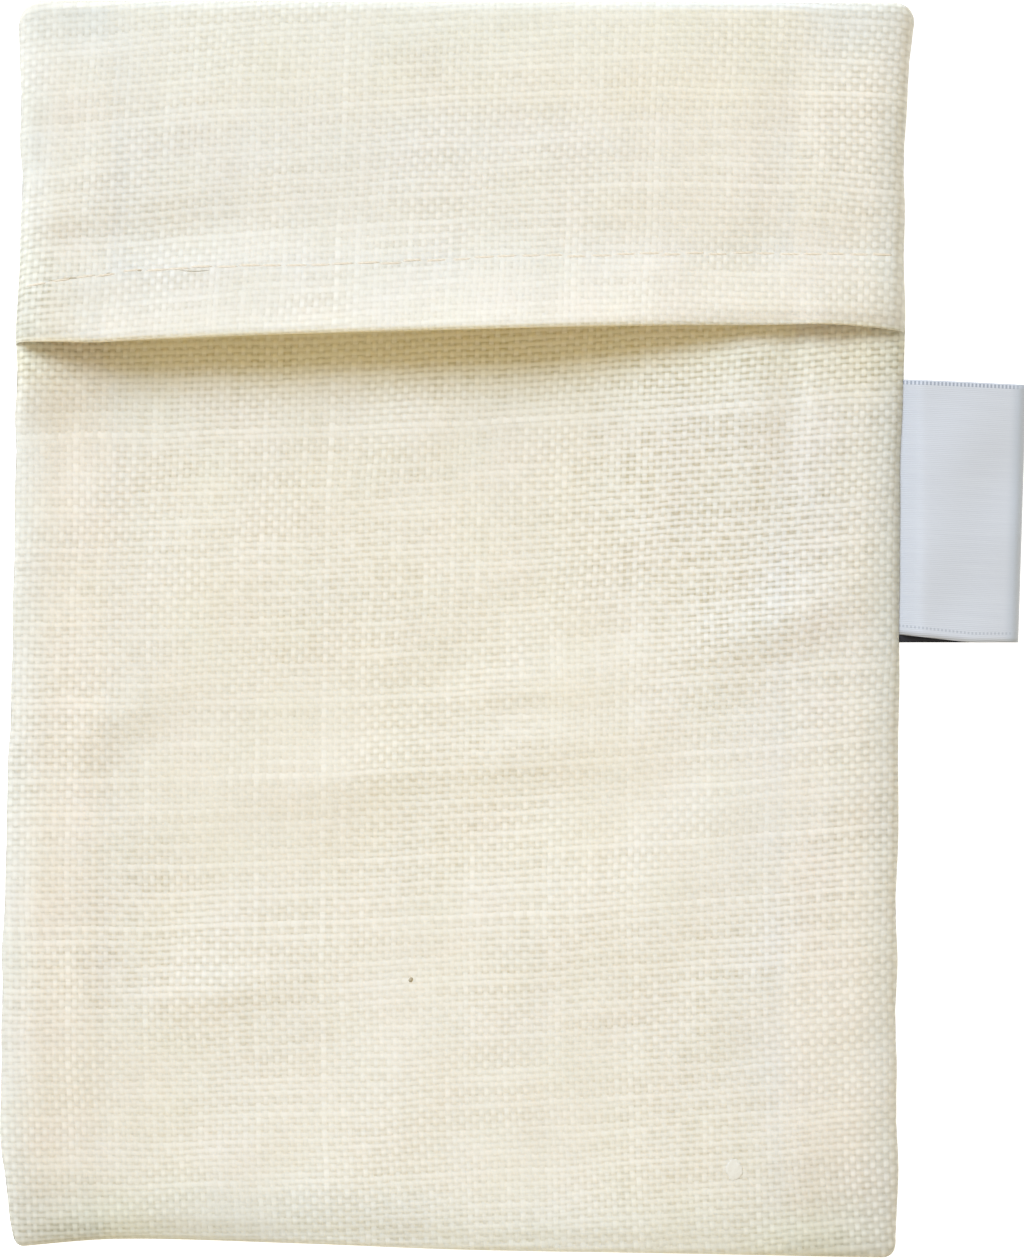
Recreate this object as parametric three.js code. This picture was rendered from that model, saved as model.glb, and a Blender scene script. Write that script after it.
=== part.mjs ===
// Soap bag: an envelope pouch of open-weave cloth, lying empty on its back.
// One strip of cloth is folded up at the bottom and over at the top, so that its hemmed flap lies on
// the front panel, and two side seams catch every layer. A folded ribbon label is caught in the right
// seam. Millimetres: +X right, +Y towards the top fold, +Z up, with the back panel flat on z = 0.

import * as THREE from 'three';

// Cloth and its layers
const CLOTH = 1.0; // thickness of one layer
const HEM = 1.3; // thickness of the folded hem along the flap's free edge
const HEM_DEPTH = 7.2; // from the flap's edge up to where the hem begins to thin
const HEM_STEP = 2.4; // width of the slope from the hem down to the single cloth
const LAYER_GAP = 0.3; // air between layers that the seams hold together
const POCKET_RISE = 1.6; // more air inside the pocket, away from its seams
const FLAP_AIR = 0.6; // more air between the flap and the front panel, away from the seams
const TOP_FOLD_RISE = 2.5; // more air inside the top fold
const FRONT_PANEL_TOP = 58; // height of the front panel's own edge, hidden under the flap
const FLAP_BULGE = 13.5; // how far up the flap its lifted edge is felt
const FLAP_CURL = 1.4; // how the lift dies away up the flap: 1 is a straight slope, more is a curl

// Edges and seams
const WIDTH = 100; // nominal width, which spaces the sections across the bag
const SEAM = 2.4; // width of the sewn side seam
const SEAM_EDGE = 0.3; // from a side edge to where the front panel begins to rise
const ALLOWANCES = { left: 10.3, right: 12.6 }; // widths of the seam allowances, turned to the inside
const ALLOWANCE_RISE = 0.3; // how far a turned-in allowance lifts the front panel
const ALLOWANCE_SLOPE = 4; // width of the slopes at both sides of that lift
const SEAM_HEIGHT = 1.1; // height of the seam's outer edge over the surface
const EDGE_ROLL = 1.7; // width of the rounding along the side seams
const EDGE_FLAT = 0.3; // part of the thickness that is left at the outermost edge
const FOLD_ROUND = 1.2; // how far the top and bottom folds round off
const INNER_ROUND = 0.5; // the same inside the folds
const QUICK_RISE = 4.8; // distance from a seam or fold over which the pocket half fills out
const SLOW_RISE = 28; // and over which it fills out whole
const SLACK = 4; // creases begin this far from the seams and folds

// Label
const LABEL_GAP = 0.3; // between the label's ends and the bag's edge
const LABEL_LEAF = 1.0; // thickness of one leaf of the ribbon
const LABEL_AIR = 0.4; // air between the two leaves
const LABEL_TOP = 28.0; // upper edge beside the bag
const LABEL_BOTTOM = -1.45; // lower edge
const LABEL_TILT = 0.7; // drop of the upper edge from the bag to the fold
const LABEL_FOLD_TOP = 63.4; // place of the fold at the label's upper edge
const LABEL_FOLD_BOTTOM = 62.5; // and at its lower edge
const LABEL_ASKEW = 1.1; // how far the upper leaf's lower edge rises beside the bag
const LABEL_ASKEW_REACH = 0.7; // share of the way to the fold over which it comes down again

const CREAM_CLOTH = new THREE.MeshStandardMaterial({ color: 0xebe5d6, roughness: 0.9, metalness: 0 });
const WHITE_SATIN = new THREE.MeshStandardMaterial({ color: 0xd3d5da, roughness: 0.45, metalness: 0 });

// Side edges of the bag, seen from above, at heights up the bag.
const SIDE_EDGES = [
  { y: -70, left: -49.0, right: 49.0 },
  { y: -58, left: -50.7, right: 49.2 },
  { y: -44, left: -50.8, right: 49.0 },
  { y: -10, left: -49.8, right: 49.3 },
  { y: 17, left: -49.2, right: 49.5 },
  { y: 36, left: -49.0, right: 50.0 },
  { y: 52, left: -48.5, right: 49.9 },
  { y: 70, left: -48.9, right: 51.1 },
];

// Bottom and top folds at places across the bag.
const END_FOLDS = [
  { x: -50, bottom: -68.9, top: 70.1 },
  { x: -38, bottom: -68.0, top: 70.0 },
  { x: -18, bottom: -68.5, top: 69.9 },
  { x: 0, bottom: -69.2, top: 69.8 },
  { x: 22, bottom: -69.6, top: 69.8 },
  { x: 50, bottom: -70.1, top: 69.8 },
];

// Corner roundings at the two ends of each side.
const CORNERS = {
  left: { bottom: 0.9, top: 2.7 },
  right: { bottom: 1.5, top: 2.2 },
};

// The flap's free edge: its height up the bag, and its lift off the front panel.
const FLAP_EDGE = [
  { x: -50, y: 31.8, lift: 0.3 },
  { x: -45.5, y: 31.7, lift: 0.7 },
  { x: -40, y: 31.6, lift: 3.3 },
  { x: -36, y: 31.8, lift: 5.1 },
  { x: -20, y: 32.4, lift: 5.5 },
  { x: 3, y: 33.0, lift: 6.0 },
  { x: 13, y: 33.3, lift: 4.6 },
  { x: 25, y: 33.6, lift: 1.9 },
  { x: 33, y: 33.7, lift: 0.1 },
  { x: 40, y: 33.8, lift: 1.0 },
  { x: 45.5, y: 33.5, lift: 0.1 },
  { x: 50, y: 33.0, lift: 0 },
];

// Soft creases that run across a panel: a ridge, or a trough where the rise is below zero, along a line.
const LONG_FOLD = [
  { x: -30, y: -17.6, rise: 0 },
  { x: -11, y: -16.4, rise: 0.75 },
  { x: -2, y: -15.0, rise: 0.35 },
  { x: 6, y: -13.8, rise: 0.7 },
  { x: 16, y: -12.6, rise: 0.6 },
  { x: 25, y: -11.2, rise: 0 },
];
const FOLD_ABOVE = [
  { x: -6, y: -9.0, rise: 0 },
  { x: 12, y: -5.8, rise: 0.45 },
  { x: 22, y: -4.6, rise: 0 },
];
const FOLD_TO_LABEL = [
  { x: 23, y: -3.2, rise: 0 },
  { x: 30, y: -1.4, rise: 0.7 },
  { x: 37, y: 1.2, rise: 0.95 },
  { x: 47, y: 4.4, rise: 0 },
];
const FOLD_AT_LEFT = [
  { x: -45, y: -13.0, rise: 0 },
  { x: -38, y: -10.0, rise: 0.4 },
  { x: -24, y: -4.0, rise: 0 },
];
const FOLD_AT_LOWER_LEFT = [
  { x: -33, y: -40.2, rise: 0 },
  { x: -25, y: -40.0, rise: 0.45 },
  { x: -16, y: -39.4, rise: 0 },
];
const HOLLOW_OVER_HEM = [
  { x: -48, y: 44.0, rise: 0 },
  { x: -30, y: 45.6, rise: -0.4 },
  { x: -8, y: 48.0, rise: 0 },
];
const HOLLOW_AT_RIGHT = [
  { x: 8, y: 42.6, rise: 0 },
  { x: 32, y: 43.2, rise: -0.25 },
  { x: 49, y: 43.0, rise: 0 },
];
const RIDGE_OF_HEM = [
  { x: 12, y: 33.4, rise: 0 },
  { x: 32, y: 33.8, rise: 0.7 },
  { x: 42, y: 33.8, rise: 0.6 },
  { x: 48, y: 33.6, rise: 0.2 },
];
const FRONT_CREASES = [
  { width: 3.6, rows: LONG_FOLD },
  { width: 2.8, rows: FOLD_ABOVE },
  { width: 3.6, rows: FOLD_TO_LABEL },
  { width: 3.2, rows: FOLD_AT_LEFT },
  { width: 2.8, rows: FOLD_AT_LOWER_LEFT },
];
const FLAP_CREASES = [
  { width: 3.0, rows: HOLLOW_OVER_HEM },
  { width: 3.2, rows: HOLLOW_AT_RIGHT },
  { width: 3.6, rows: RIDGE_OF_HEM },
];

// Soft swells of the front panel, and dips where the rise is below zero.
const FRONT_SWELLS = [
  { x: -46, y: 32, reach: 8, rise: 2.6 }, // under the flap's left end
  { x: 15, y: -32, reach: 11, rise: 1.1 }, // below the long fold
  { x: 24, y: 18, reach: 9, rise: 0.5 }, // beside the label
  { x: -10, y: -61, reach: 9, rise: 0.7 }, // over the bottom fold
  { x: -22, y: 4, reach: 12, rise: 0.4 }, // middle left
  { x: 43, y: -65, reach: 8, rise: -0.5 }, // lower right corner
  { x: -44, y: -64, reach: 8, rise: -0.5 }, // lower left corner
];

// Sections: distances from a side edge at which they stand, and the points along each of them.
const FROM_SIDE = [0, 0.3, 0.9, EDGE_ROLL, SEAM, 3.5, 5, 7, 9.5, 12.5];
const MIDDLE_SECTIONS = 20;
const FRONT_ROWS = 26;
const HIDDEN_ROWS = 6;
const FLAP_ROWS = 8;
const HEM_ROWS = 2;
const FOLD_ROWS = 2;
const ROUND_STEPS = 5;
const LEAF_ROWS = 3;
const LABEL_SECTIONS = [0, 0.25, 0.5, 0.75, 1]; // shares of the way down the label

const { clamp, lerp, smoothstep } = THREE.MathUtils;

// Reads one column of a table at any place between its rows, along a smooth curve.
function column(rows, key, name) {
  const slopes = rows.map((row, i) => {
    const before = rows[Math.max(i - 1, 0)];
    const after = rows[Math.min(i + 1, rows.length - 1)];
    return (after[name] - before[name]) / (after[key] - before[key]);
  });
  return (place) => {
    const at = clamp(place, rows[0][key], rows.at(-1)[key]);
    const next = Math.max(1, rows.findIndex((row) => at <= row[key]));
    const step = rows[next][key] - rows[next - 1][key];
    const s = (at - rows[next - 1][key]) / step;
    const eased = s * s * (3 - 2 * s);
    const leaving = slopes[next - 1] * step * s * (1 - s) * (1 - s);
    const arriving = slopes[next] * step * s * s * (1 - s);
    return lerp(rows[next - 1][name], rows[next][name], eased) + leaving - arriving;
  };
}

const leftEdge = column(SIDE_EDGES, 'y', 'left');
const rightEdge = column(SIDE_EDGES, 'y', 'right');
const bottomFold = column(END_FOLDS, 'x', 'bottom');
const topFold = column(END_FOLDS, 'x', 'top');
const flapEdge = column(FLAP_EDGE, 'x', 'y');
const flapLift = column(FLAP_EDGE, 'x', 'lift');

// Curves of a panel's creases: each one's line up the bag and its rise, at a place across.
function creaseCurves(creases) {
  return creases.map(({ width, rows }) => {
    return { width, line: column(rows, 'x', 'y'), rise: column(rows, 'x', 'rise') };
  });
}

const frontCreases = creaseCurves(FRONT_CREASES);
const flapCreases = creaseCurves(FLAP_CREASES);

// Height that a panel's creases add at a point.
function creaseHeight(creases, x, y) {
  let height = 0;
  for (const { width, line, rise } of creases) {
    height += rise(x) * Math.exp(-(((y - line(x)) / width) ** 2));
  }
  return height;
}

// Height that the front panel's swells add at a point.
function swellHeight(x, y) {
  let height = 0;
  for (const swell of FRONT_SWELLS) {
    const off = Math.hypot(x - swell.x, y - swell.y) / swell.reach;
    height += swell.rise * Math.exp(-(off ** 2));
  }
  return height;
}

// Place across the bag of a section, at a height up the bag.
function across(share, y) {
  return lerp(leftEdge(y), rightEdge(y), share);
}

// Distances from the nearer side seam and from the bottom fold.
function fromSeams(x, y) {
  return Math.min(x - leftEdge(y), rightEdge(y) - x) - SEAM_EDGE;
}

function fromBottom(x, y) {
  return y - bottomFold(x) - FOLD_ROUND;
}

// How far the pocket has filled out at a distance from a seam or fold: half soon, half slowly.
function filling(distance) {
  const soon = 1 - clamp(distance / QUICK_RISE, 0, 1);
  return (Math.sqrt(1 - soon * soon) + smoothstep(distance, 0, SLOW_RISE)) / 2;
}

// How far the pocket has filled out at a point, from 0 at the seams to 1.
function puff(x, y) {
  return filling(fromSeams(x, y)) * filling(fromBottom(x, y));
}

// How free the cloth is to crease at a point, from 0 at the seams to 1.
function slack(x, y) {
  return smoothstep(fromSeams(x, y), 0, SLACK) * smoothstep(fromBottom(x, y), 0, SLACK);
}

// Lift of the front panel over a turned-in allowance, at a distance from that side's edge.
function allowanceHeight(fromSide, width) {
  const start = smoothstep(fromSide, SEAM_EDGE, SEAM_EDGE + ALLOWANCE_SLOPE);
  const end = smoothstep(fromSide, width - ALLOWANCE_SLOPE / 2, width + ALLOWANCE_SLOPE / 2);
  return ALLOWANCE_RISE * start * (1 - end);
}

// Heights of the front panel's two faces.
function frontUnder(x, y) {
  const creased = creaseHeight(frontCreases, x, y) + swellHeight(x, y);
  const leftLift = allowanceHeight(x - leftEdge(y), ALLOWANCES.left);
  const rightLift = allowanceHeight(rightEdge(y) - x, ALLOWANCES.right);
  const flat = CLOTH + LAYER_GAP + puff(x, y) * POCKET_RISE;
  return flat + slack(x, y) * (creased + leftLift + rightLift);
}

function frontTop(x, y) {
  return frontUnder(x, y) + CLOTH;
}

// Heights of the flap's two faces: over the front panel, then down to the top fold.
function flapUnder(x, y) {
  const up = clamp((y - flapEdge(x)) / FLAP_BULGE, 0, 1);
  const air = LAYER_GAP + puff(x, y) * FLAP_AIR + flapLift(x) * (1 - up) ** FLAP_CURL;
  const onPanel = frontTop(x, Math.min(y, FRONT_PANEL_TOP)) + air;
  const atFold = CLOTH + LAYER_GAP + puff(x, y) * TOP_FOLD_RISE;
  const fall = smoothstep(y, FRONT_PANEL_TOP, topFold(x) - FOLD_ROUND);
  return lerp(onPanel, atFold, fall) + slack(x, y) * creaseHeight(flapCreases, x, y);
}

function flapTop(x, y) {
  const hem = 1 - smoothstep(y - flapEdge(x), HEM_DEPTH, HEM_DEPTH + HEM_STEP);
  return flapUnder(x, y) + lerp(CLOTH, HEM, hem);
}

// Values strictly between two ends, evenly spaced.
function between(from, to, count) {
  return Array.from({ length: count }, (_, i) => lerp(from, to, (i + 1) / (count + 1)));
}

// Points of a half round from (y, zFrom) to (y, zTo) that bulges out to y + reach, ends included.
function halfRound(y, reach, zFrom, zTo) {
  return Array.from({ length: ROUND_STEPS + 1 }, (_, i) => {
    const turn = (Math.PI * i) / ROUND_STEPS;
    return [y + reach * Math.sin(turn), lerp(zFrom, zTo, (1 - Math.cos(turn)) / 2)];
  });
}

// One section of the folded cloth, as chains of [y, z] points with the cloth on the left of the way
// they run. Round the outside, back runs up the back panel, over runs over the top fold to the flap's
// edge, and front runs from there down to the bottom fold. Inside, lining runs in under the flap and
// round the back of the pocket, and panel runs up the front panel's inside and out over its top.
function section(share, fromSide) {
  const corner = share < 0.5 ? CORNERS.left : CORNERS.right;
  const middle = across(share, 0);
  const bottom = bottomFold(middle) + cornerDrop(corner.bottom, fromSide);
  const top = topFold(middle) - cornerDrop(corner.top, fromSide);
  const lowest = bottom + FOLD_ROUND;
  const highest = top - FOLD_ROUND;
  const innerLowest = bottom + CLOTH + INNER_ROUND;
  const innerHighest = top - CLOTH - INNER_ROUND;
  const edge = flapEdge(middle);
  const hemTop = edge + HEM_DEPTH;
  const hemEnd = edge + HEM / 2;
  const hemReach = (-HEM / 2) * smoothstep(fromSide, SEAM, 2 * SEAM);
  const panelEnd = FRONT_PANEL_TOP - CLOTH / 2;

  const on = (height) => (y) => [y, height(across(share, y), y)];
  const heightAt = (height, y) => height(across(share, y), y);
  const frontYs = between(edge, lowest, FRONT_ROWS);
  const hiddenYs = between(edge, panelEnd, HIDDEN_ROWS);
  const hemYs = [hemTop + HEM_STEP, hemTop, ...between(hemTop, hemEnd, HEM_ROWS)];
  const flapYs = [...between(highest, hemTop + HEM_STEP, FLAP_ROWS), ...hemYs];
  const liningYs = [
    ...between(hemEnd, FRONT_PANEL_TOP, HIDDEN_ROWS),
    ...between(FRONT_PANEL_TOP, innerHighest, FOLD_ROWS),
  ];
  const backYs = SIDE_EDGES.map((row) => row.y).filter((y) => y > innerLowest && y < innerHighest);
  const bottomRound = halfRound(innerLowest, -INNER_ROUND, CLOTH, heightAt(frontUnder, innerLowest));
  const halfWay = bottomRound.length / 2;

  return {
    back: [[lowest, 0], ...backYs.map((y) => [y, 0]), [highest, 0]],
    over: [
      ...halfRound(highest, FOLD_ROUND, 0, heightAt(flapTop, highest)).slice(1),
      ...flapYs.map(on(flapTop)),
      ...halfRound(hemEnd, hemReach, heightAt(flapTop, edge), heightAt(flapUnder, edge)),
    ],
    front: [
      on(frontTop)(edge),
      ...frontYs.map(on(frontTop)),
      ...halfRound(lowest, -FOLD_ROUND, heightAt(frontTop, lowest), 0).slice(0, -1),
    ],
    lining: [
      ...liningYs.map(on(flapUnder)),
      ...halfRound(innerHighest, INNER_ROUND, heightAt(flapUnder, innerHighest), CLOTH),
      ...backYs.toReversed().map((y) => [y, CLOTH]),
      ...bottomRound.slice(0, halfWay),
    ],
    panel: [
      ...bottomRound.slice(halfWay),
      ...frontYs.toReversed().map(on(frontUnder)),
      ...[edge, ...hiddenYs].map(on(frontUnder)),
      ...halfRound(panelEnd, CLOTH / 2, heightAt(frontUnder, panelEnd), heightAt(frontTop, panelEnd)),
      ...hiddenYs.toReversed().map(on(frontTop)),
    ],
  };
}

// Collects points and triangles into one closed surface.
class Surface {
  constructor() {
    this.points = [];
    this.triangles = [];
  }

  add(points) {
    return points.map((point) => this.points.push(point) - 1);
  }

  // Joins two matching chains of points, the second one further along the way the sections stack.
  bridge(chain, next) {
    for (let i = 0; i + 1 < chain.length; i += 1) {
      this.triangles.push([chain[i], chain[i + 1], next[i + 1]], [chain[i], next[i + 1], next[i]]);
    }
  }

  // Fills the narrow ring between two chains that run the same way, always over the shorter diagonal.
  fill(chain, other, facing) {
    const point = (index) => new THREE.Vector3(...this.points[index]);
    const distance = (from, to) => point(from).distanceTo(point(to));
    let i = 0;
    let j = 0;
    while (i + 1 < chain.length || j + 1 < other.length) {
      const toChain = i + 1 < chain.length ? distance(chain[i + 1], other[j]) : Infinity;
      const toOther = j + 1 < other.length ? distance(chain[i], other[j + 1]) : Infinity;
      const third = toChain < toOther ? chain[i + 1] : other[j + 1];
      const face = [chain[i], third, other[j]];
      this.triangles.push(facing === 'on' ? face : face.reverse());
      if (toChain < toOther) {
        i += 1;
      } else {
        j += 1;
      }
    }
  }

  geometry() {
    const geometry = new THREE.BufferGeometry();
    geometry.setAttribute('position', new THREE.Float32BufferAttribute(this.points.flat(), 3));
    geometry.setIndex(this.triangles.flat());
    geometry.computeVertexNormals();
    return geometry;
  }
}

// Part of the thickness that is left at a distance from a side edge.
function edgeThickness(fromSide) {
  const out = clamp(1 - fromSide / EDGE_ROLL, 0, 1);
  return EDGE_FLAT + (1 - EDGE_FLAT) * Math.sqrt(1 - out * out);
}

// How far a corner's rounding draws a fold in, at a distance from the side edge.
function cornerDrop(radius, fromSide) {
  const out = clamp(1 - fromSide / radius, 0, 1);
  return radius * (1 - Math.sqrt(1 - out * out));
}

// The bag: sections stacked from the left edge to the right one, hollow between the two side seams.
function bagGeometry() {
  const inmost = FROM_SIDE.at(-1);
  const stations = [
    ...FROM_SIDE,
    ...between(inmost, WIDTH - inmost, MIDDLE_SECTIONS),
    ...FROM_SIDE.toReversed().map((fromSide) => WIDTH - fromSide),
  ];
  const surface = new Surface();
  const rows = stations.map((station) => {
    const share = station / WIDTH;
    const fromSide = Math.min(station, WIDTH - station);
    const thickness = edgeThickness(fromSide);
    const place = ([y, z]) => [across(share, y), y, lerp(SEAM_HEIGHT, z, thickness)];
    const { back, over, front, lining, panel } = section(share, fromSide);
    const hollow = fromSide >= SEAM;
    return {
      hollow,
      back: surface.add(back.map(place)),
      over: surface.add(over.map(place)),
      front: surface.add(front.map(place)),
      lining: hollow ? surface.add(lining.map(place)) : [],
      panel: hollow ? surface.add(panel.map(place)) : [],
    };
  });

  rows.slice(1).forEach((next, i) => {
    const open = rows[i].hollow && next.hollow;
    const ring = ({ back, over, lining, panel, front }) => {
      const inside = open ? [...lining, ...panel] : [];
      return [...back, ...over, ...inside, ...front, back[0]];
    };
    surface.bridge(ring(rows[i]), ring(next));
  });
  const fillHollow = ({ over, lining, panel, front }, facing) => {
    surface.fill([over.at(-1), ...lining], [front[0], ...panel.toReversed()], facing);
  };
  const fillEdge = ({ back, over, front }, facing) => {
    surface.fill(back, [...over, ...front].toReversed(), facing);
  };
  const hollowRows = rows.filter((row) => row.hollow);
  fillHollow(hollowRows[0], 'against');
  fillHollow(hollowRows.at(-1), 'on');
  fillEdge(rows[0], 'against');
  fillEdge(rows.at(-1), 'on');
  return surface.geometry();
}

// The label: a ribbon folded in two, stacked from its upper edge down to its lower one.
function labelGeometry() {
  const height = 2 * LABEL_LEAF + LABEL_AIR;
  const surface = new Surface();
  const rows = LABEL_SECTIONS.map((down) => {
    const edge = rightEdge(lerp(LABEL_TOP, LABEL_BOTTOM, down)) + LABEL_GAP;
    const fold = lerp(LABEL_FOLD_TOP, LABEL_FOLD_BOTTOM, down);
    const turn = fold - height / 2;
    const leafXs = between(edge, turn, LEAF_ROWS);
    const place = ([x, z]) => {
      const out = (x - edge) / (fold - edge);
      const askew = LABEL_ASKEW * Math.max(0, 1 - out / LABEL_ASKEW_REACH) * (z / height) * down;
      return [x, lerp(LABEL_TOP - LABEL_TILT * out, LABEL_BOTTOM, down) + askew, z];
    };
    const outer = [
      [edge, 0],
      ...leafXs.map((x) => [x, 0]),
      ...halfRound(turn, height / 2, 0, height),
      ...leafXs.toReversed().map((x) => [x, height]),
      [edge, height],
    ];
    const inner = [
      [edge, height - LABEL_LEAF],
      ...leafXs.map((x) => [x, height - LABEL_LEAF]),
      ...halfRound(turn, LABEL_AIR / 2, height - LABEL_LEAF, LABEL_LEAF),
      ...leafXs.toReversed().map((x) => [x, LABEL_LEAF]),
      [edge, LABEL_LEAF],
    ];
    return { outer: surface.add(outer.map(place)), inner: surface.add(inner.map(place)) };
  });
  const ring = ({ outer, inner }) => [...outer, ...inner, outer[0]];
  rows.slice(1).forEach((next, i) => surface.bridge(ring(rows[i]), ring(next)));
  surface.fill(rows[0].outer, rows[0].inner.toReversed(), 'against');
  surface.fill(rows.at(-1).outer, rows.at(-1).inner.toReversed(), 'on');
  return surface.geometry();
}

function piece(name, geometry, material) {
  const mesh = new THREE.Mesh(geometry, material);
  mesh.name = name;
  return mesh;
}

const soapBag = new THREE.Group();
soapBag.add(piece('bag_cloth', bagGeometry(), CREAM_CLOTH));
soapBag.add(piece('label', labelGeometry(), WHITE_SATIN));

export default soapBag;
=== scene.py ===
import math

import bpy
import numpy as np
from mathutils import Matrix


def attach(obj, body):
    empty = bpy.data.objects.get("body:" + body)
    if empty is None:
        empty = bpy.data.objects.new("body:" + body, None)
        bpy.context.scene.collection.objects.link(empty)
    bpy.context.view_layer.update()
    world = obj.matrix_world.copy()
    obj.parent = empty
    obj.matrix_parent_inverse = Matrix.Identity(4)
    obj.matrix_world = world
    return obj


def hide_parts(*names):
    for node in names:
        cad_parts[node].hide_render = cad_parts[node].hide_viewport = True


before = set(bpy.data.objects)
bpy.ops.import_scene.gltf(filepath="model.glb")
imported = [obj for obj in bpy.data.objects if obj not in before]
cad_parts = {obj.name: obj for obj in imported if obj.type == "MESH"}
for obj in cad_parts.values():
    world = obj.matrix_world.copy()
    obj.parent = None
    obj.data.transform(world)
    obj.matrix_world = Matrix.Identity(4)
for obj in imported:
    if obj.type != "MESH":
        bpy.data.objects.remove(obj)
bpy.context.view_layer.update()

# Bag cloth: one strip of cream open plain weave, of linen or ramie, cut about 120 by 330 mm. It is hemmed
# at both ends, folded up at the bottom and over at the top into a flap, and sewn down both sides, with
# the seam allowances turned to the inside.

MM = 0.001


def smoothstep(value, low, high):
    t = np.clip((value - low) / (high - low), 0, 1)
    return t * t * (3 - 2 * t)


def until(value, low, high):
    return 1 - smoothstep(value, low, high)


def between(value, start, end):
    return smoothstep(value, *start) * until(value, *end)


def lerp(start, end, share):
    return start + (end - start) * share


def read(table, name, place):
    """Reads one row of a table at any place between its entries, along a smooth curve."""
    keys, values = np.array(table["at"], float), np.array(table[name], float)
    order = np.arange(len(keys))
    before, after = np.maximum(order - 1, 0), np.minimum(order + 1, len(keys) - 1)
    slopes = (values[after] - values[before]) / (keys[after] - keys[before])
    place = np.clip(place, keys[0], keys[-1])
    low = np.clip(np.searchsorted(keys, place, side="right") - 1, 0, len(keys) - 2)
    step = keys[low + 1] - keys[low]
    s = (place - keys[low]) / step
    leaving = slopes[low] * step * s * (1 - s) ** 2
    arriving = slopes[low + 1] * step * s * s * (1 - s)
    return lerp(values[low], values[low + 1], s * s * (3 - 2 * s)) + leaving - arriving


def waves(x, y, size, seed):
    """Smooth irregular waves of about the given size, mostly between -1 and 1."""
    draw = np.random.default_rng(seed)
    total = np.zeros(np.broadcast(x, y).shape)
    count = 7
    for _ in range(count):
        turn, phase = draw.uniform(0, 2 * math.pi, 2)
        length = size * draw.uniform(low=0.7, high=1.6)
        along = x * math.cos(turn) + y * math.sin(turn)
        total += np.sin(2 * math.pi * along / length + phase)
    return total / math.sqrt(count)


def wavy(parts, x, y):
    """Soft waves added up, each with its own rise, size and seed."""
    return sum(rise * waves(x, y, size, seed) for rise, size, seed in parts)


def crease_height(creases, x, y):
    total = np.zeros(np.broadcast(x, y).shape)
    for crease in creases:
        along, off = (x, y) if crease["runs"] == "across" else (y, x)
        off = (off - read(crease, "line", along)) / crease["width"]
        total += read(crease, "rise", along) * np.exp(-off * off)
    return total


def swell_height(swells, x, y):
    total = np.zeros(np.broadcast(x, y).shape)
    for at_x, at_y, reach, rise in swells:
        total += rise * np.exp(-((x - at_x) ** 2 + (y - at_y) ** 2) / reach ** 2)
    return total


SIDE_EDGES = {  # heights up the bag, and its two side edges there
    "at": (-70, -58, -44, -10, 17, 36, 52, 70),
    "left": (-49.0, -50.7, -50.8, -49.8, -49.2, -49.0, -48.5, -48.9),
    "right": (49.0, 49.2, 49.0, 49.3, 49.5, 50.0, 49.9, 51.1),
}
EDGE_WAVER = 0.1  # how far the side edges stray, and over what length
EDGE_WAVER_SIZE = 9


def left_edge(y):
    return read(SIDE_EDGES, "left", y) + EDGE_WAVER * waves(y, 0, EDGE_WAVER_SIZE, 1)


def right_edge(y):
    return read(SIDE_EDGES, "right", y) + EDGE_WAVER * waves(y, 0, EDGE_WAVER_SIZE, 2)


def across(share, y):
    return lerp(left_edge(y), right_edge(y), share)


QUICK_RISE = 4.8  # the pocket fills out half within this reach of a seam or fold, half more slowly
SLOW_RISE = 28


def filling(distance):
    """How far the pocket has filled out at a distance from a seam or fold: half soon, half slowly."""
    soon = 1 - np.clip(distance / QUICK_RISE, 0, 1)
    return (np.sqrt(1 - soon * soon) + smoothstep(distance, 0, SLOW_RISE)) / 2


END_FOLDS = {  # places across the bag, and its bottom and top folds there
    "at": (-50, -38, -18, 0, 22, 50),
    "bottom": (-68.9, -68.0, -68.5, -69.2, -69.6, -70.1),
    "top": (70.1, 70.0, 69.9, 69.8, 69.8, 69.8),
}
SEAM = 0.3
FOLD_ROUND = 1.2
SLACK = 4  # creases begin this far from the seams and folds


def gaps(x, y):
    """How far in a place lies from the left and from the right edge."""
    return x - left_edge(y), right_edge(y) - x


def from_seams(x, y):
    return np.minimum(*gaps(x, y)) - SEAM


def from_bottom(x, y):
    return y - read(END_FOLDS, "bottom", x) - FOLD_ROUND


def puff(x, y):
    return filling(from_seams(x, y)) * filling(from_bottom(x, y))


def slack(x, y):
    """How free the cloth is to crease, from nothing at a seam or fold to one."""
    return smoothstep(from_seams(x, y), 0, SLACK) * smoothstep(from_bottom(x, y), 0, SLACK)


LEFT_ALLOWANCE = 10.3
RIGHT_ALLOWANCE = 12.6
ALLOWANCE_RISE = {  # heights up the bag, and how far each allowance lifts the front there
    "at": (-70, -55, -42, -25, -8, 5, 25, 70),
    "left": (0.1, 0.25, 0.4, 0.35, 0.4, 0.15, 0.15, 0.1),
    "right": (0.3, 0.3, 0.25, 0.15, 0.2, 0.3, 0.3, 0.3),
}


def over_allowances(x, y):
    """The raised strips along the sides, where the cloth lies over its turned-in allowances."""
    total = 0
    for side, gap, width in zip(("left", "right"), gaps(x, y), (LEFT_ALLOWANCE, RIGHT_ALLOWANCE)):
        strip = smoothstep(gap, low=1, high=4) * until(gap - width, low=-2, high=2.5)
        total = total + read(ALLOWANCE_RISE, side, y) * strip
    return total


PUCKER = 0.08
PUCKER_AT = 3
PUCKER_REACH = 4
PUCKER_SIZES = (5.5, 13)
PUCKER_SEEDS = {"left": (3, 14), "right": (4, 15)}


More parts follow.
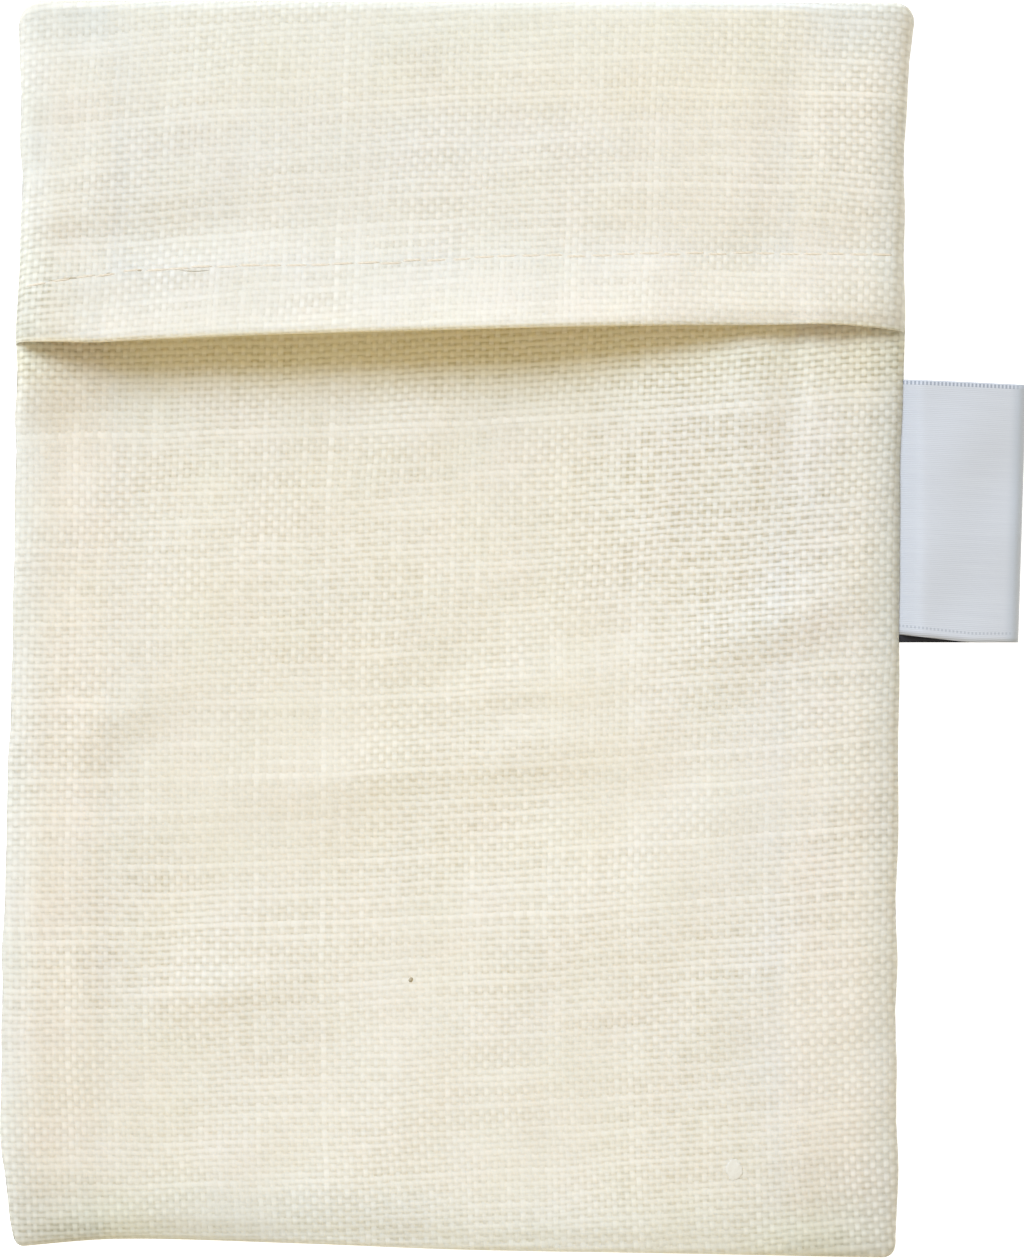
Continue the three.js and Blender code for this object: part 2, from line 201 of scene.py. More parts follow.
def seam_puckers(x, y):
    """Small ripples that the side seams draw into the cloth beside them."""
    total = 0
    for side, gap in zip(("left", "right"), gaps(x, y)):
        ripples = sum(waves(0, y, size, seed) for size, seed in zip(PUCKER_SIZES, PUCKER_SEEDS[side]))
        total = total + ripples * np.exp(-((gap - PUCKER_AT) / PUCKER_REACH) ** 2)
    return PUCKER * total


FLAP_STACK = 2.6  # how far the layers caught in the left seam lift the cloth at the flap's end
FLAP_STACK_AT = -47
FLAP_STACK_REACH = 7.5


def over_flap_stack(x, y):
    """The swell at the flap's left end, where the seam holds every layer."""
    beside = smoothstep(x - left_edge(y), low=-1, high=1.2)
    beside = beside * np.exp(-((x - FLAP_STACK_AT) / FLAP_STACK_REACH) ** 2)
    return FLAP_STACK * beside * between(y, start=(20.5, 30.5), end=(33, 58))


CLOTH = 1.0  # room that one layer takes
LAYER_GAP = 0.3
POCKET_RISE = 1.6
FRONT_WAVES = ((0.09, 17, 5), (0.04, 7, 6))  # rise, size and seed of each
FRONT_SWELLS = (  # soft swells and dips: middle, reach and rise
    (15, -32, 11, 1.1),
    (24, 18, 9, 0.5),
    (-10, -61, 9, 0.7),
    (-22, 4, 12, 0.4),
    (43, -67, 8, -0.5),
    (-44, -64, 8, -0.6),
)
# Soft ridges, and troughs where the rise is below zero, that run across or up the bag: places along each,
# its line there, and its rise there
FRONT_CREASES = (
    {"runs": "across", "width": 3.6, "at": (-30, -21, -11, -2, 6, 16, 25),
     "line": (-17.6, -17.2, -16.4, -15, -13.8, -12.6, -11.2), "rise": (0, 0.3, 0.75, 0.35, 0.7, 0.6, 0)},
    {"runs": "across", "width": 2.8, "at": (-6, 3, 12, 17, 22),
     "line": (-9, -7, -5.8, -5.2, -4.6), "rise": (0, 0.3, 0.45, 0.4, 0)},
    {"runs": "across", "width": 3.6, "at": (23, 30, 37, 42, 47),
     "line": (-3.2, -1.4, 1.2, 3, 4.4), "rise": (0, 0.7, 0.95, 0.6, 0)},
    {"runs": "across", "width": 3.2, "at": (-45, -40, -33, -24),
     "line": (-13, -11, -7, -4), "rise": (0, 0.4, 0.3, 0)},
    {"runs": "across", "width": 2.4, "at": (-33, -27, -22, -16),
     "line": (-40.2, -40.2, -39.8, -39.4), "rise": (0, 0.45, 0.4, 0)},
    {"runs": "up", "width": 1.7, "at": (12, 18, 26, 34, 40),
     "line": (37.2, 37.2, 37.4, 37.6, 37.6), "rise": (0, -0.35, -0.5, -0.35, 0)},
    {"runs": "up", "width": 2.8, "at": (12, 18, 26, 34, 40),
     "line": (33.4, 33.2, 33.2, 33.4, 33.4), "rise": (0, 0.25, 0.35, 0.3, 0)},
)


def front_top(x, y):
    creased = crease_height(FRONT_CREASES, x, y) + swell_height(FRONT_SWELLS, x, y) + wavy(FRONT_WAVES, x, y)
    flat = 2 * CLOTH + LAYER_GAP + puff(x, y) * POCKET_RISE
    return flat + slack(x, y) * creased + over_allowances(x, y) + over_flap_stack(x, y) + seam_puckers(x, y)


FLAP_EDGE = {  # places across the bag, the flap's free edge there, and its lift off the front panel
    "at": (-50, -45.5, -40, -36, -20, 3, 13, 25, 33, 40, 45.5, 50),
    "edge": (31.8, 31.7, 31.6, 31.8, 32.4, 33.0, 33.3, 33.6, 33.7, 33.8, 33.5, 33.0),
    "lift": (0.5, 2.0, 3.9, 5.1, 5.5, 6.0, 4.6, 1.7, 0.15, 0.9, 0.15, 0),
}
FRONT_PANEL_TOP = 58
FLAP_AIR = 0.6
TOP_FOLD_RISE = 3.6
FLAP_BULGE = 13  # how far up the flap its edge's lift reaches
FLAP_CURL = 2.2  # how steeply that lift fades
FLAP_CREASES = (
    {"runs": "across", "width": 3.0, "at": (-48, -40, -30, -18, -8),
     "line": (42, 42.8, 43.8, 45.4, 46.4), "rise": (0, -0.4, -0.5, -0.35, 0)},
    {"runs": "across", "width": 2.6, "at": (-14, 0, 18, 34),
     "line": (56, 56.4, 56.6, 56.6), "rise": (0, -0.16, -0.16, 0)},
    {"runs": "up", "width": 2.0, "at": (46, 54, 60, 66),
     "line": (37.6, 37.8, 38, 38), "rise": (0, -0.35, -0.4, 0)},
    {"runs": "across", "width": 3.2, "at": (8, 20, 32, 42, 49),
     "line": (42.6, 43, 43.2, 43.2, 43), "rise": (0, -0.2, -0.25, -0.2, 0)},
    {"runs": "across", "width": 3.6, "at": (12, 22, 32, 42, 48),
     "line": (33.4, 33.6, 33.8, 33.8, 33.6), "rise": (0, 0.5, 0.7, 0.6, 0.2)},
)


def flap_edge(x):
    return read(FLAP_EDGE, "edge", x)


def flap_under(x, y):
    up = np.clip((y - flap_edge(x)) / FLAP_BULGE, 0, 1)
    lift = read(FLAP_EDGE, "lift", x) * (1 - up) ** FLAP_CURL
    on_panel = front_top(x, np.minimum(y, FRONT_PANEL_TOP)) + LAYER_GAP + puff(x, y) * FLAP_AIR + lift
    at_fold = CLOTH + LAYER_GAP + puff(x, y) * TOP_FOLD_RISE
    fall = smoothstep(y, FRONT_PANEL_TOP, read(END_FOLDS, "top", x) - FOLD_ROUND)
    return lerp(on_panel, at_fold, fall) + slack(x, y) * crease_height(FLAP_CREASES, x, y)


STITCH_ROW = {  # places across the bag, and the hem's stitching there
    "at": (-49, -45.4, -36.5, -28.7, -14.2, 6.1, 21.5, 33.8, 49.4),
    "height": (37.6, 38.2, 39.6, 40.1, 40.3, 41.2, 41.5, 41.7, 41.5),
}
HEM = 1.3  # room that the flap's hem takes
HEM_STEP = 2.4  # how wide the step is where the hem begins
GROOVE = 0.15  # how far the stitching draws the cloth in
GROOVE_REACH = 0.4
FLAP_ROLL = 0.65  # how far the flap's free edge rolls down
END_ROLL = 0.5  # how much further it does so at its two ends
FLAP_ROLL_REACH = 1.0


def flap_top(x, y):
    stitching = read(STITCH_ROW, "height", x)
    hem = until(y, stitching - HEM_STEP / 2, stitching + HEM_STEP / 2)
    groove = GROOVE * np.exp(-(((y - stitching) / GROOVE_REACH) ** 2))
    roll = FLAP_ROLL + END_ROLL * (smoothstep(x, low=27, high=38) + until(x, low=-48, high=-38))
    rolled = roll * np.exp(-np.maximum(y - flap_edge(x), 0) / FLAP_ROLL_REACH)
    return flap_under(x, y) + lerp(CLOTH, HEM, hem) - groove - rolled


CORNERS = {"left": {"bottom": 0.9, "top": 2.7}, "right": {"bottom": 1.5, "top": 2.2}}


def corner_drop(radius, from_side):
    out = np.clip(1 - from_side / radius, 0, 1)
    return radius * (1 - np.sqrt(1 - out * out))


# Places across the strip: the left allowance, the panels from seam to seam, the right allowance.
WIDTH = 100  # nominal width between the side seams
BY_EDGE = np.array((0, 0.12, 0.3, 0.55, 0.85, 1.2, 1.6, 2.1, 2.7, 3.4, 4.2))
MIDDLE_FROM = 5
MIDDLE_COLUMNS = 113
ALLOWANCE_STEPS = np.array((0.03, 0.08, 0.16, 0.3, 0.47, 0.66, 0.84, 1))
ALLOWANCE_TUCK = 0.4  # how far inside its panel an allowance lies, and over what reach it gets there
ALLOWANCE_TUCK_REACH = 1.2
place = np.concatenate((
    -LEFT_ALLOWANCE * ALLOWANCE_STEPS[::-1],
    BY_EDGE,
    np.linspace(MIDDLE_FROM, WIDTH - MIDDLE_FROM, MIDDLE_COLUMNS),
    WIDTH - BY_EDGE[::-1],
    WIDTH + RIGHT_ALLOWANCE * ALLOWANCE_STEPS,
))
turned = np.maximum(-place, place - WIDTH)  # how far into an allowance, or below zero on the panels
in_allowance = turned > 0
on_left = place < WIDTH / 2
sewn = np.clip(place, 0, WIDTH) / WIDTH
inset = np.where(in_allowance, turned, 0) * np.where(on_left, 1, -1) / WIDTH


def folded_place(narrowing):
    """Shares across the bag, with the allowances turned in, narrowed by a share."""
    return sewn + inset * narrowing


share = folded_place(1)
from_side = np.minimum(share, 1 - share) * WIDTH
middle = across(share, 0.0)
corner = {}
for end in ("bottom", "top"):
    left_drop, right_drop = (corner_drop(CORNERS[side][end], from_side) for side in ("left", "right"))
    corner[end] = np.where(on_left, left_drop, right_drop)
lowest = read(END_FOLDS, "bottom", middle) + corner["bottom"] + FOLD_ROUND
highest = read(END_FOLDS, "top", middle) - corner["top"] - FOLD_ROUND
edge = flap_edge(middle)

FRONT_ROWS = 148
BACK_ROWS = 44
FLAP_ROWS = 64
HEM_ROWS = 9
ROUND_ROWS = 10
EDGE_ROWS = 7
TURN_ROWS = 4
SINK = 0.1  # the cloth's middle lies this far under its upper face
BACK_HEIGHT = 0.15
BACK_WAVES = (0.05, 21, 7)
MOUTH_HEM = 6.5
MOUTH_HEM_DEPTH = 0.5  # how far under the front its hem lies
TURN_REACH = 0.3  # how far a turned-in raw edge bulges out
HEM_ROUND = 0.55
HEM_INSIDE = 6.4
HEM_LAYER = 0.65  # from the hem's back up to its turned-in layer
RAW_EDGE = 1.6  # how near the flap's edge that layer ends


def run(start, end, rows):
    """Heights up the bag from one line to another, a row at a time, ends included."""
    return lerp(start, end, np.linspace(0, 1, rows)[:, None]) * np.ones(len(place))


def half_round(y, reach, z_from, z_to, rows=ROUND_ROWS):
    """A half round between two heights at y, without its ends, that bulges out by reach."""
    turn = np.linspace(0, math.pi, rows + 2)[1:-1, None]
    return y + reach * np.sin(turn), lerp(z_from, z_to, (1 - np.cos(turn)) / 2)


def at(height, y, narrowed=share):
    return height(across(narrowed, y), y) - SINK


HEM_ALLOWANCE = 0.05  # the part of an allowance's width that is left in a hem
hemmed = folded_place(HEM_ALLOWANCE)
stretches = []  # the strip from its mouth hem to its flap hem: y, z, the way inside, and allowance width

panel_end = np.full(len(place), FRONT_PANEL_TOP - TURN_REACH)
hem_y = run(panel_end - MOUTH_HEM, panel_end, HEM_ROWS)
stretches.append((hem_y, at(front_top, hem_y, hemmed) - MOUTH_HEM_DEPTH, (0, 1), HEM_ALLOWANCE))
turn_z = at(front_top, panel_end, hemmed)
turn_y, turn_z = half_round(panel_end, TURN_REACH, turn_z - MOUTH_HEM_DEPTH, turn_z, TURN_ROWS)
stretches.append((turn_y, turn_z, (0, -1), HEM_ALLOWANCE))
front_y = run(panel_end, lowest, FRONT_ROWS)
stretches.append((front_y, at(front_top, front_y), (0, -1), 1))
round_y, round_z = half_round(lowest, -FOLD_ROUND, at(front_top, lowest), BACK_HEIGHT)
stretches.append((round_y, round_z, (1, 0), 1))
back_y = run(lowest, highest, BACK_ROWS)
back_x = across(share, back_y)
back_rise, back_size, back_seed = BACK_WAVES
back_z = BACK_HEIGHT + back_rise * (1 + waves(back_x, back_y, back_size, back_seed)) * puff(back_x, back_y)
stretches.append((back_y, back_z, (0, 1), 1))
round_y, round_z = half_round(highest, FOLD_ROUND, BACK_HEIGHT, at(flap_top, highest))
stretches.append((round_y, round_z, (-1, 0), 1))
hem_end = edge + HEM_ROUND
flap_y = run(highest, hem_end, FLAP_ROWS)
stretches.append((flap_y, at(flap_top, flap_y), (0, -1), 1))
under_z = at(flap_under, hem_end, hemmed) + 2 * SINK
round_y, round_z = half_round(hem_end, -HEM_ROUND, at(flap_top, hem_end, hemmed), under_z, EDGE_ROWS)
stretches.append((round_y, round_z, (1, 0), HEM_ALLOWANCE))
hem_y = run(hem_end, hem_end + HEM_INSIDE, HEM_ROWS)
stretches.append((hem_y, at(flap_under, hem_y, hemmed) + 2 * SINK, (0, 1), HEM_ALLOWANCE))
inner_end = hem_end + HEM_INSIDE
inner_z = at(flap_under, inner_end, hemmed) + 2 * SINK
round_y, round_z = half_round(inner_end, TURN_REACH, inner_z, inner_z + HEM_LAYER, TURN_ROWS)
stretches.append((round_y, round_z, (0, 1), HEM_ALLOWANCE))
hem_y = run(inner_end, edge + RAW_EDGE, HEM_ROWS)
stretches.append((hem_y, at(flap_under, hem_y, hemmed) + 2 * SINK + HEM_LAYER, (0, 1), HEM_ALLOWANCE))

stretch_y, stretch_z, stretch_inside, stretch_width = zip(*stretches)
cloth_y, cloth_z = np.vstack(stretch_y), np.vstack(stretch_z)
rows_of = [len(y) for y in stretch_y]
inside_y, inside_z = np.repeat(stretch_inside, rows_of, axis=0).T[:, :, None]
narrowing = np.repeat(stretch_width, rows_of)[:, None]

cloth_share = folded_place(narrowing)
cloth_x = across(cloth_share, cloth_y)
side_gap = np.minimum(cloth_share, 1 - cloth_share) * WIDTH
tucked = smoothstep(turned * narrowing, 0, ALLOWANCE_TUCK_REACH)
tuck = ALLOWANCE_TUCK * np.where(in_allowance, tucked, 0)
cloth_y = cloth_y + inside_y * tuck
cloth_z = cloth_z + inside_z * tuck
EDGE_ROLL = 1.7
SEAM_HEIGHT = 1.1
LEFT_SEAM_HEIGHT = 1.8
rolled = np.clip(1 - side_gap / EDGE_ROLL, 0, 1)
cloth_z = lerp(lerp(LEFT_SEAM_HEIGHT, SEAM_HEIGHT, cloth_share), cloth_z, np.sqrt(1 - rolled * rolled))

# Threads: how they lean over the panels, as rise over run, and a place in the flat weave for each point.
ROW_SLANT = {"at": (-50, -20, 10, 35, 50), "front": (0.01, 0.035, 0.06, 0.08, 0.085),
             "flap": (0.095, 0.07, 0.05, -0.03, -0.05)}
COLUMN_LEAN = {"at": (-70, -60, -35, 10, 40, 70), "lean": (-0.045, -0.035, 0, 0.03, 0.045, 0.045)}


def summed(table, name, place):
    """The height that a table of slopes adds up to at a place, from the table's first entry on."""
    fine = np.linspace(table["at"][0], table["at"][-1], num=400)
    slopes = np.interp(fine, table["at"], table[name])
    total = np.concatenate(([0], np.cumsum((slopes[1:] + slopes[:-1]) / 2 * np.diff(fine))))
    return np.interp(place, fine, total)


WARP_SPACING = 0.726
WEFT_SPACING = 0.753
LOW, HIGH = -68.0, 68.7  # heights where the panels end and the folds begin
FOLD_TURN, HEM_TURN, MOUTH_TURN = 3.6, 1.5, 1  # cloth that goes round each
FRONT, FLAP = 2, 6  # their places among the stretches
BENDS = (1, 3, 5, 7, 9)
WEAVE_RUNS = (-1, -1, 1, 1, -1, -1, 1, 1, -1, -1, 1)  # each stretch's threads count up the bag, or down it
WEFT_WAVES = ((0.1, 14, 9), (0.02, 5, 10))
WARP_WAVES = ((0.1, 14, 11), (0.02, 5, 12))
row_number = np.repeat(np.arange(len(stretches)), rows_of)[:, None]
front_slant = summed(ROW_SLANT, "front", cloth_x)
flap_slant = summed(ROW_SLANT, "flap", cloth_x)
back_slant = lerp(front_slant, flap_slant, smoothstep(cloth_y, LOW, HIGH))
on_front = cloth_y - front_slant
on_back = 2 * LOW - FOLD_TURN - cloth_y - back_slant
flap_start = 2 * LOW - 2 * HIGH - 2 * FOLD_TURN
on_flap = flap_start + cloth_y - flap_slant
hem_back = flap_start + 2 * edge - HEM_TURN - cloth_y - flap_slant
hem_inner = flap_start - 2 * HEM_INSIDE - 2 * HEM_TURN + cloth_y - flap_slant
mouth_back = 2 * panel_end + MOUTH_TURN - cloth_y - front_slant
along = np.choose(row_number, (
    mouth_back, mouth_back, on_front, on_front, on_back, on_back,
    on_flap, on_flap, hem_back, hem_back, hem_inner,
))
row_starts = np.cumsum([0] + rows_of)
for bend in BENDS:
    first, last = row_starts[bend], row_starts[bend + 1]
    steps = np.linspace(0, 1, last - first + 2)[1:-1, None]
    along[first:last] = lerp(along[first - 1], along[last], steps)
along = along + wavy(WEFT_WAVES, cloth_x, cloth_y)
leaning = summed(COLUMN_LEAN, "lean", cloth_y) + wavy(WARP_WAVES, cloth_x, cloth_y)
outside = np.where(on_left, left_edge(cloth_y), right_edge(cloth_y))
sideways = np.where(in_allowance, 2 * outside - cloth_x, cloth_x) - leaning

centre = len(place) // 2
cloth_length = np.hypot(np.diff(cloth_y[:, centre]), np.diff(cloth_z[:, centre])).sum()


def lay(name, x, y, z):
    """A sheet: a grid whose points are put in their places, row by row."""
    rows, columns = x.shape
    bpy.ops.object.select_all(action="DESELECT")
    bpy.ops.mesh.primitive_grid_add(x_subdivisions=columns - 1, y_subdivisions=rows - 1, size=1)
    sheet = bpy.context.object
    sheet.name = name
    sheet.data.vertices.foreach_set("co", (np.stack((x, y, z), axis=-1) * MM).ravel())
    return sheet


def carry(piece, name, values):
    """Gives every point of a piece a value, or three, that its material reads by name."""
    kind, field = ("FLOAT_VECTOR", "vector") if values.ndim == 3 else ("FLOAT", "value")
    piece.data.attributes.new(name, kind, "POINT").data.foreach_set(field, values.ravel())


def patch(amount, middle, reach):
    """A soft patch on the cloth that fades out from its middle, or a stripe if one reach has no end."""
    off_x, off_y = (cloth_x - middle[0]) / reach[0], (cloth_y - middle[1]) / reach[1]
    return amount * np.exp(-(off_x ** 2) - off_y ** 2)


cloth = lay("folded_cloth", cloth_x, cloth_y, cloth_z)
way = np.choose(row_number, WEAVE_RUNS) * np.ones(len(place))
carry(cloth, "threads", np.stack((sideways / WARP_SPACING, along / WEFT_SPACING, way), axis=-1))
off_left, off_right = gaps(cloth_x, cloth_y)
front_rows, flap_rows = row_number == FRONT, row_number == FLAP

# How open the weave is: most on the right of the front and under the flap's edge, least in the hem.
OPEN = 0.25
OPEN_WAVES = ((0.2, 26, 13),)
OPEN_OFF_FRONT = 0.6  # share that is left on the other panels
openness = OPEN + wavy(OPEN_WAVES, cloth_x, cloth_y) + patch(0.75, middle=(27, 14), reach=(15, 19))
openness = openness + patch(0.6, middle=(0, 30), reach=(math.inf, 4))
openness = np.where(front_rows, openness, OPEN_OFF_FRONT * openness)
open_flap = openness * smoothstep(cloth_y - edge, low=6, high=12)
open_flap = open_flap + patch(0.8, middle=(-47, 37), reach=(4, 5))
carry(cloth, "openness", np.clip(np.where(flap_rows, open_flap, openness), 0, 1))

# Painted highlight on the warp's crests, as pale nubs: most beside the right seam and under the flap's edge.
NUBBY, NUBBY_LEFT, NUBBY_RIGHT = 0.15, 0.15, 0.7
NUBBY_WAVES = ((0.2, 19, 16),)
nub_highlights = NUBBY_RIGHT * until(off_right, low=2, high=12) + NUBBY_LEFT * until(off_left, low=1, high=6)
nub_highlights = nub_highlights + NUBBY + wavy(NUBBY_WAVES, cloth_x, cloth_y)
nub_highlights = nub_highlights + np.where(front_rows, patch(0.5, middle=(0, 30), reach=(math.inf, 3)), 0)
carry(cloth, "nub_highlights", np.clip(nub_highlights, 0, 1))

# How pale it is: less, as painted shade, in the bottom corners, in a band below the flap's shadow, along
# the bottom fold on the left and on the left of the hem; a little less low on the left and at the flap's
# left end, and more low in the middle.
FRONT_PALE, FLAP_PALE = 0.11, 0.17
HEM_SHADE = (-0.28, 0.02)  # what its left and its right add to that
DARK_FLAP_END = 0.1
LOW_EDGE_SHADE, LOW_EDGE_REACH = 0.4, 1.5
# Painted shade in the bottom corners.
shaded_left_corner = patch(0.4, middle=(-45, -68), reach=(6.43, 6.43))
shaded_right_corner = patch(0.4, middle=(45, -69), reach=(9, 9))
left_middle = patch(0.08, middle=(-26, -22), reach=(12, 30))
low_middle = patch(0.14, middle=(2, 0), reach=(26, math.inf)) * until(cloth_y, low=-66, high=-56)
# Painted shade in a band below the flap's shadow.
shade_below_flap = patch(0.13, middle=(0, 24), reach=(math.inf, 3.5))
shade_below_flap = shade_below_flap * between(cloth_x, start=(-40, -34), end=(24, 34))
# Painted shade along the bottom fold, on the left.
low_edge_shade = LOW_EDGE_SHADE * np.exp(-(np.maximum(cloth_y - lowest, 0) / LOW_EDGE_REACH) ** 2)
low_edge_shade = low_edge_shade * between(cloth_x, start=(-49, -40), end=(-26, -8))
front_pale = FRONT_PALE - np.maximum(shaded_left_corner, shaded_right_corner)
front_pale = front_pale + low_middle - shade_below_flap - left_middle - low_edge_shade
in_hem = until(cloth_y - read(STITCH_ROW, "height", cloth_x), low=-1, high=1)
# Painted shade on the left of the hem, fading out towards its right.
hem_shade = lerp(*HEM_SHADE, smoothstep(cloth_x, low=-30, high=20)) * in_hem
flap_pale = FLAP_PALE + hem_shade - DARK_FLAP_END * until(off_left, low=0, high=6)
carry(cloth, "paleness", np.where(flap_rows, flap_pale, front_pale))

# How its colour shifts: warmer over the seam allowances, painted in for the warm light that the cloth lets
# through elsewhere, and at the flap's ends; cooler low on the front and up the right of it; and a painted
# golden shade under the flap's edge, on the hem and in the bottom corners.
WARM, COOL, SHADE_GOLD = (0.065, 0.02, -0.03), (0.01, 0.02, 0.05), (0, -0.01, -0.1)  # to red, green and blue
WARM_LEFT, WARM_LOW_RIGHT, WARM_HIGH_RIGHT = 0.85, 0.8, 0.4
WARM_FLAP_LEFT, WARM_FLAP_RIGHT = 0.6, 0.7
COOL_LOW = 0.8
SHADE_GOLD_FLAP_END, SHADE_GOLD_HEM = 0.4, 0.6
# Over the allowances the warmth is painted in for the warm light that the cloth lets through elsewhere.
over_left = WARM_LEFT * until(off_left - LEFT_ALLOWANCE, low=-5, high=5)
warm_right = lerp(WARM_LOW_RIGHT, WARM_HIGH_RIGHT, smoothstep(cloth_y, low=-35, high=5))
over_right = warm_right * until(off_right - RIGHT_ALLOWANCE, low=-3, high=2)
flap_warm = WARM_FLAP_RIGHT * smoothstep(cloth_x, low=-10, high=40)
flap_warm = flap_warm + WARM_FLAP_LEFT * until(off_left, low=0, high=14)
warm = np.where(flap_rows, flap_warm, np.maximum(over_left, over_right))
cool_right = between(cloth_x, start=(12, 27), end=(38, 46)) * smoothstep(cloth_y, low=-66, high=-50)
cool_low = between(cloth_x, start=(-34, -24), end=(10, 25)) * until(cloth_y, low=-45, high=-15)
cool = np.where(flap_rows, 0, cool_right + COOL_LOW * cool_low)
# Painted golden shade in the bottom corners, under the flap's edge, at the flap's left end and on the hem.
shaded_left_corner = patch(0.8, middle=(-40, -67), reach=(9, 5))
shaded_right_corner = patch(0.9, middle=(40, -69), reach=(7, 4))
front_shade_gold = patch(1, middle=(0, 31), reach=(math.inf, 4)) + shaded_left_corner + shaded_right_corner
flap_shade_gold = SHADE_GOLD_FLAP_END * until(off_left, low=0, high=10) * until(cloth_y, low=36, high=50)
shade_gold = np.where(row_number < FLAP, front_shade_gold, np.where(flap_rows, flap_shade_gold, SHADE_GOLD_HEM))
carry(cloth, "tint", warm[..., None] * WARM + cool[..., None] * COOL + shade_gold[..., None] * SHADE_GOLD)

# How few layers lie under a point, from the many in a seam or fold to the few of a plain panel.
off_folds = smoothstep(cloth_y - lowest, low=-1, high=8) * smoothstep(highest - cloth_y, low=-1, high=10)
carry(cloth, "thinness", off_folds * smoothstep(side_gap, low=0, high=5))
cloth.data.flip_normals()
bpy.ops.object.shade_smooth()


def linear(hex_colour):
    """A colour given in sRGB, as a shader takes it."""
    shares = [int(hex_colour[i:i + 2], 16) / 255 for i in (1, 3, 5)]
    return [s / 12.92 if s <= 0.04045 else ((s + 0.055) / 1.055) ** 2.4 for s in shares] + [1]


def blank(name):
    """A new empty material, and the function that adds a node with its settings and links to it."""
    material = bpy.data.materials.new(name)
    material.use_nodes = True
    tree = material.node_tree
    tree.nodes.clear()

    def add(kind, sockets=None, operation=None, **settings):
        """Adds a node, fills or links its sockets, and returns its first output."""
        node = tree.nodes.new(kind)
        if operation:
            node.operation = operation
        for setting, value in settings.items():
            setattr(node, setting, value)
        for key, value in (sockets or {}).items():
            if isinstance(value, bpy.types.NodeSocket):
                tree.links.new(value, node.inputs[key])
            else:
                node.inputs[key].default_value = value
        shown = [socket for socket in node.outputs if socket.enabled]
        return shown[0] if shown else None

    return material, add


# Open plain weave of uneven bast yarn: round threads over and under each other, slubs that stand out as
# paler lines, small holes, partly closed by fuzz, that show the layer behind, and a warm light let through.
WARP_HALF, WEFT_HALF = 0.355, 0.32  # half widths of the threads, as shares of their spacing
SWELL = 0.16  # how much a thread's half width comes and goes along it
SLUB = 0.09  # how much wider the few thickest threads are
WANDER = 0.16  # how far a thread lies from its even place
EDGE_STEEPNESS = 2.4
FUZZ = (0.985, 0.95)  # part of each hole that fine fibres close, where the weave is close and where open
ROUNDING = 0.14  # tilt of a thread's flanks
WARP_CRIMP = (0.08, 0.3)  # tilt of a warp thread as it passes over and under, where close and where open
WEFT_CRIMP = 0.1
WEFT_SEED = 1000.0  # keeps the draws for the weft apart from the warp's
THREAD_APART = 400.0  # keeps the noise along a thread apart from the next one's
SWELL_RATE = 0.06  # swells in each thread passed
SLUB_RARITY = 9.0
ATTRIBUTE, MIX = "ShaderNodeAttribute", "ShaderNodeMix"
MATH, VECTOR = "ShaderNodeMath", "ShaderNodeVectorMath"
SPLIT, JOIN = "ShaderNodeSeparateXYZ", "ShaderNodeCombineXYZ"
NOISE, DRAW = "ShaderNodeTexNoise", "ShaderNodeTexWhiteNoise"
linen, add = blank("open_weave_linen")
numbers = ("openness", "paleness", "nub_highlights", "thinness")
opened, pale_by, nub_lit, thin = (add(ATTRIBUTE, attribute_name=name).node.outputs["Fac"] for name in numbers)
threads, tint = (add(ATTRIBUTE, attribute_name=name).node.outputs["Vector"] for name in ("threads", "tint"))
warp_count, weft_count, way = add(SPLIT, {0: threads}).node.outputs
cell = add(VECTOR, {0: threads}, "FLOOR")
warp_index, weft_index, _ = add(SPLIT, {0: cell}).node.outputs
weft_seed = add(MATH, {0: weft_index, 1: WEFT_SEED}, "ADD")

# What each thread is like: its place and shade are drawn, it swells along its length, and a few are slubs.
kinds = []
for index, seed, count in ((warp_index, warp_index, weft_count), (weft_index, weft_seed, warp_count)):
    drawn = add(DRAW, {"W": seed}, noise_dimensions="1D").node.outputs["Color"]
    stray, size, shade = add(SPLIT, {0: drawn}).node.outputs
    line = add(MATH, {0: index, 1: THREAD_APART, 2: count}, "MULTIPLY_ADD")
    swell = add(NOISE, {"W": line, "Scale": SWELL_RATE, "Detail": 1}, noise_dimensions="1D")
    kinds.append((stray, shade, line, swell, add(MATH, {0: size, 1: SLUB_RARITY}, "POWER")))
warp_stray, warp_shade, _, warp_swell, warp_slub = kinds[0]
weft_stray, weft_shade, weft_line, weft_swell, weft_slub = kinds[1]
swell = add(JOIN, {0: warp_swell, 1: weft_swell})
least = (WARP_HALF - SWELL / 2, WEFT_HALF - SWELL / 2, 1)
half = add(VECTOR, {0: swell, 1: (SWELL, SWELL, 0), 2: least}, "MULTIPLY_ADD")
slub = add(JOIN, {0: warp_slub, 1: weft_slub})
half = add(VECTOR, {0: slub, 1: (SLUB, SLUB, 0), 2: half}, "MULTIPLY_ADD")

# Where a point lies across its warp and weft threads, and which of them is on top there.
stray = add(JOIN, {0: warp_stray, 1: weft_stray})
least = (-0.5 - WANDER / 2, -0.5 - WANDER / 2, 0)
stray = add(VECTOR, {0: stray, 1: (WANDER, WANDER, 0), 2: least}, "MULTIPLY_ADD")
within = add(VECTOR, {0: threads}, "FRACTION")
within = add(VECTOR, {0: within, 1: stray}, "ADD")
across_thread = add(VECTOR, {0: within, 1: half}, "DIVIDE")
flank = add(VECTOR, {0: across_thread, 1: across_thread}, "MULTIPLY")
steep, falling = (EDGE_STEEPNESS,) * 3, (-EDGE_STEEPNESS,) * 3
cover = add(VECTOR, {0: flank, 1: falling, 2: steep}, "MULTIPLY_ADD")
cover = add(VECTOR, {0: cover, 1: (0, 0, 0)}, "MAXIMUM")
cover = add(VECTOR, {0: cover, 1: (1, 1, 1)}, "MINIMUM")
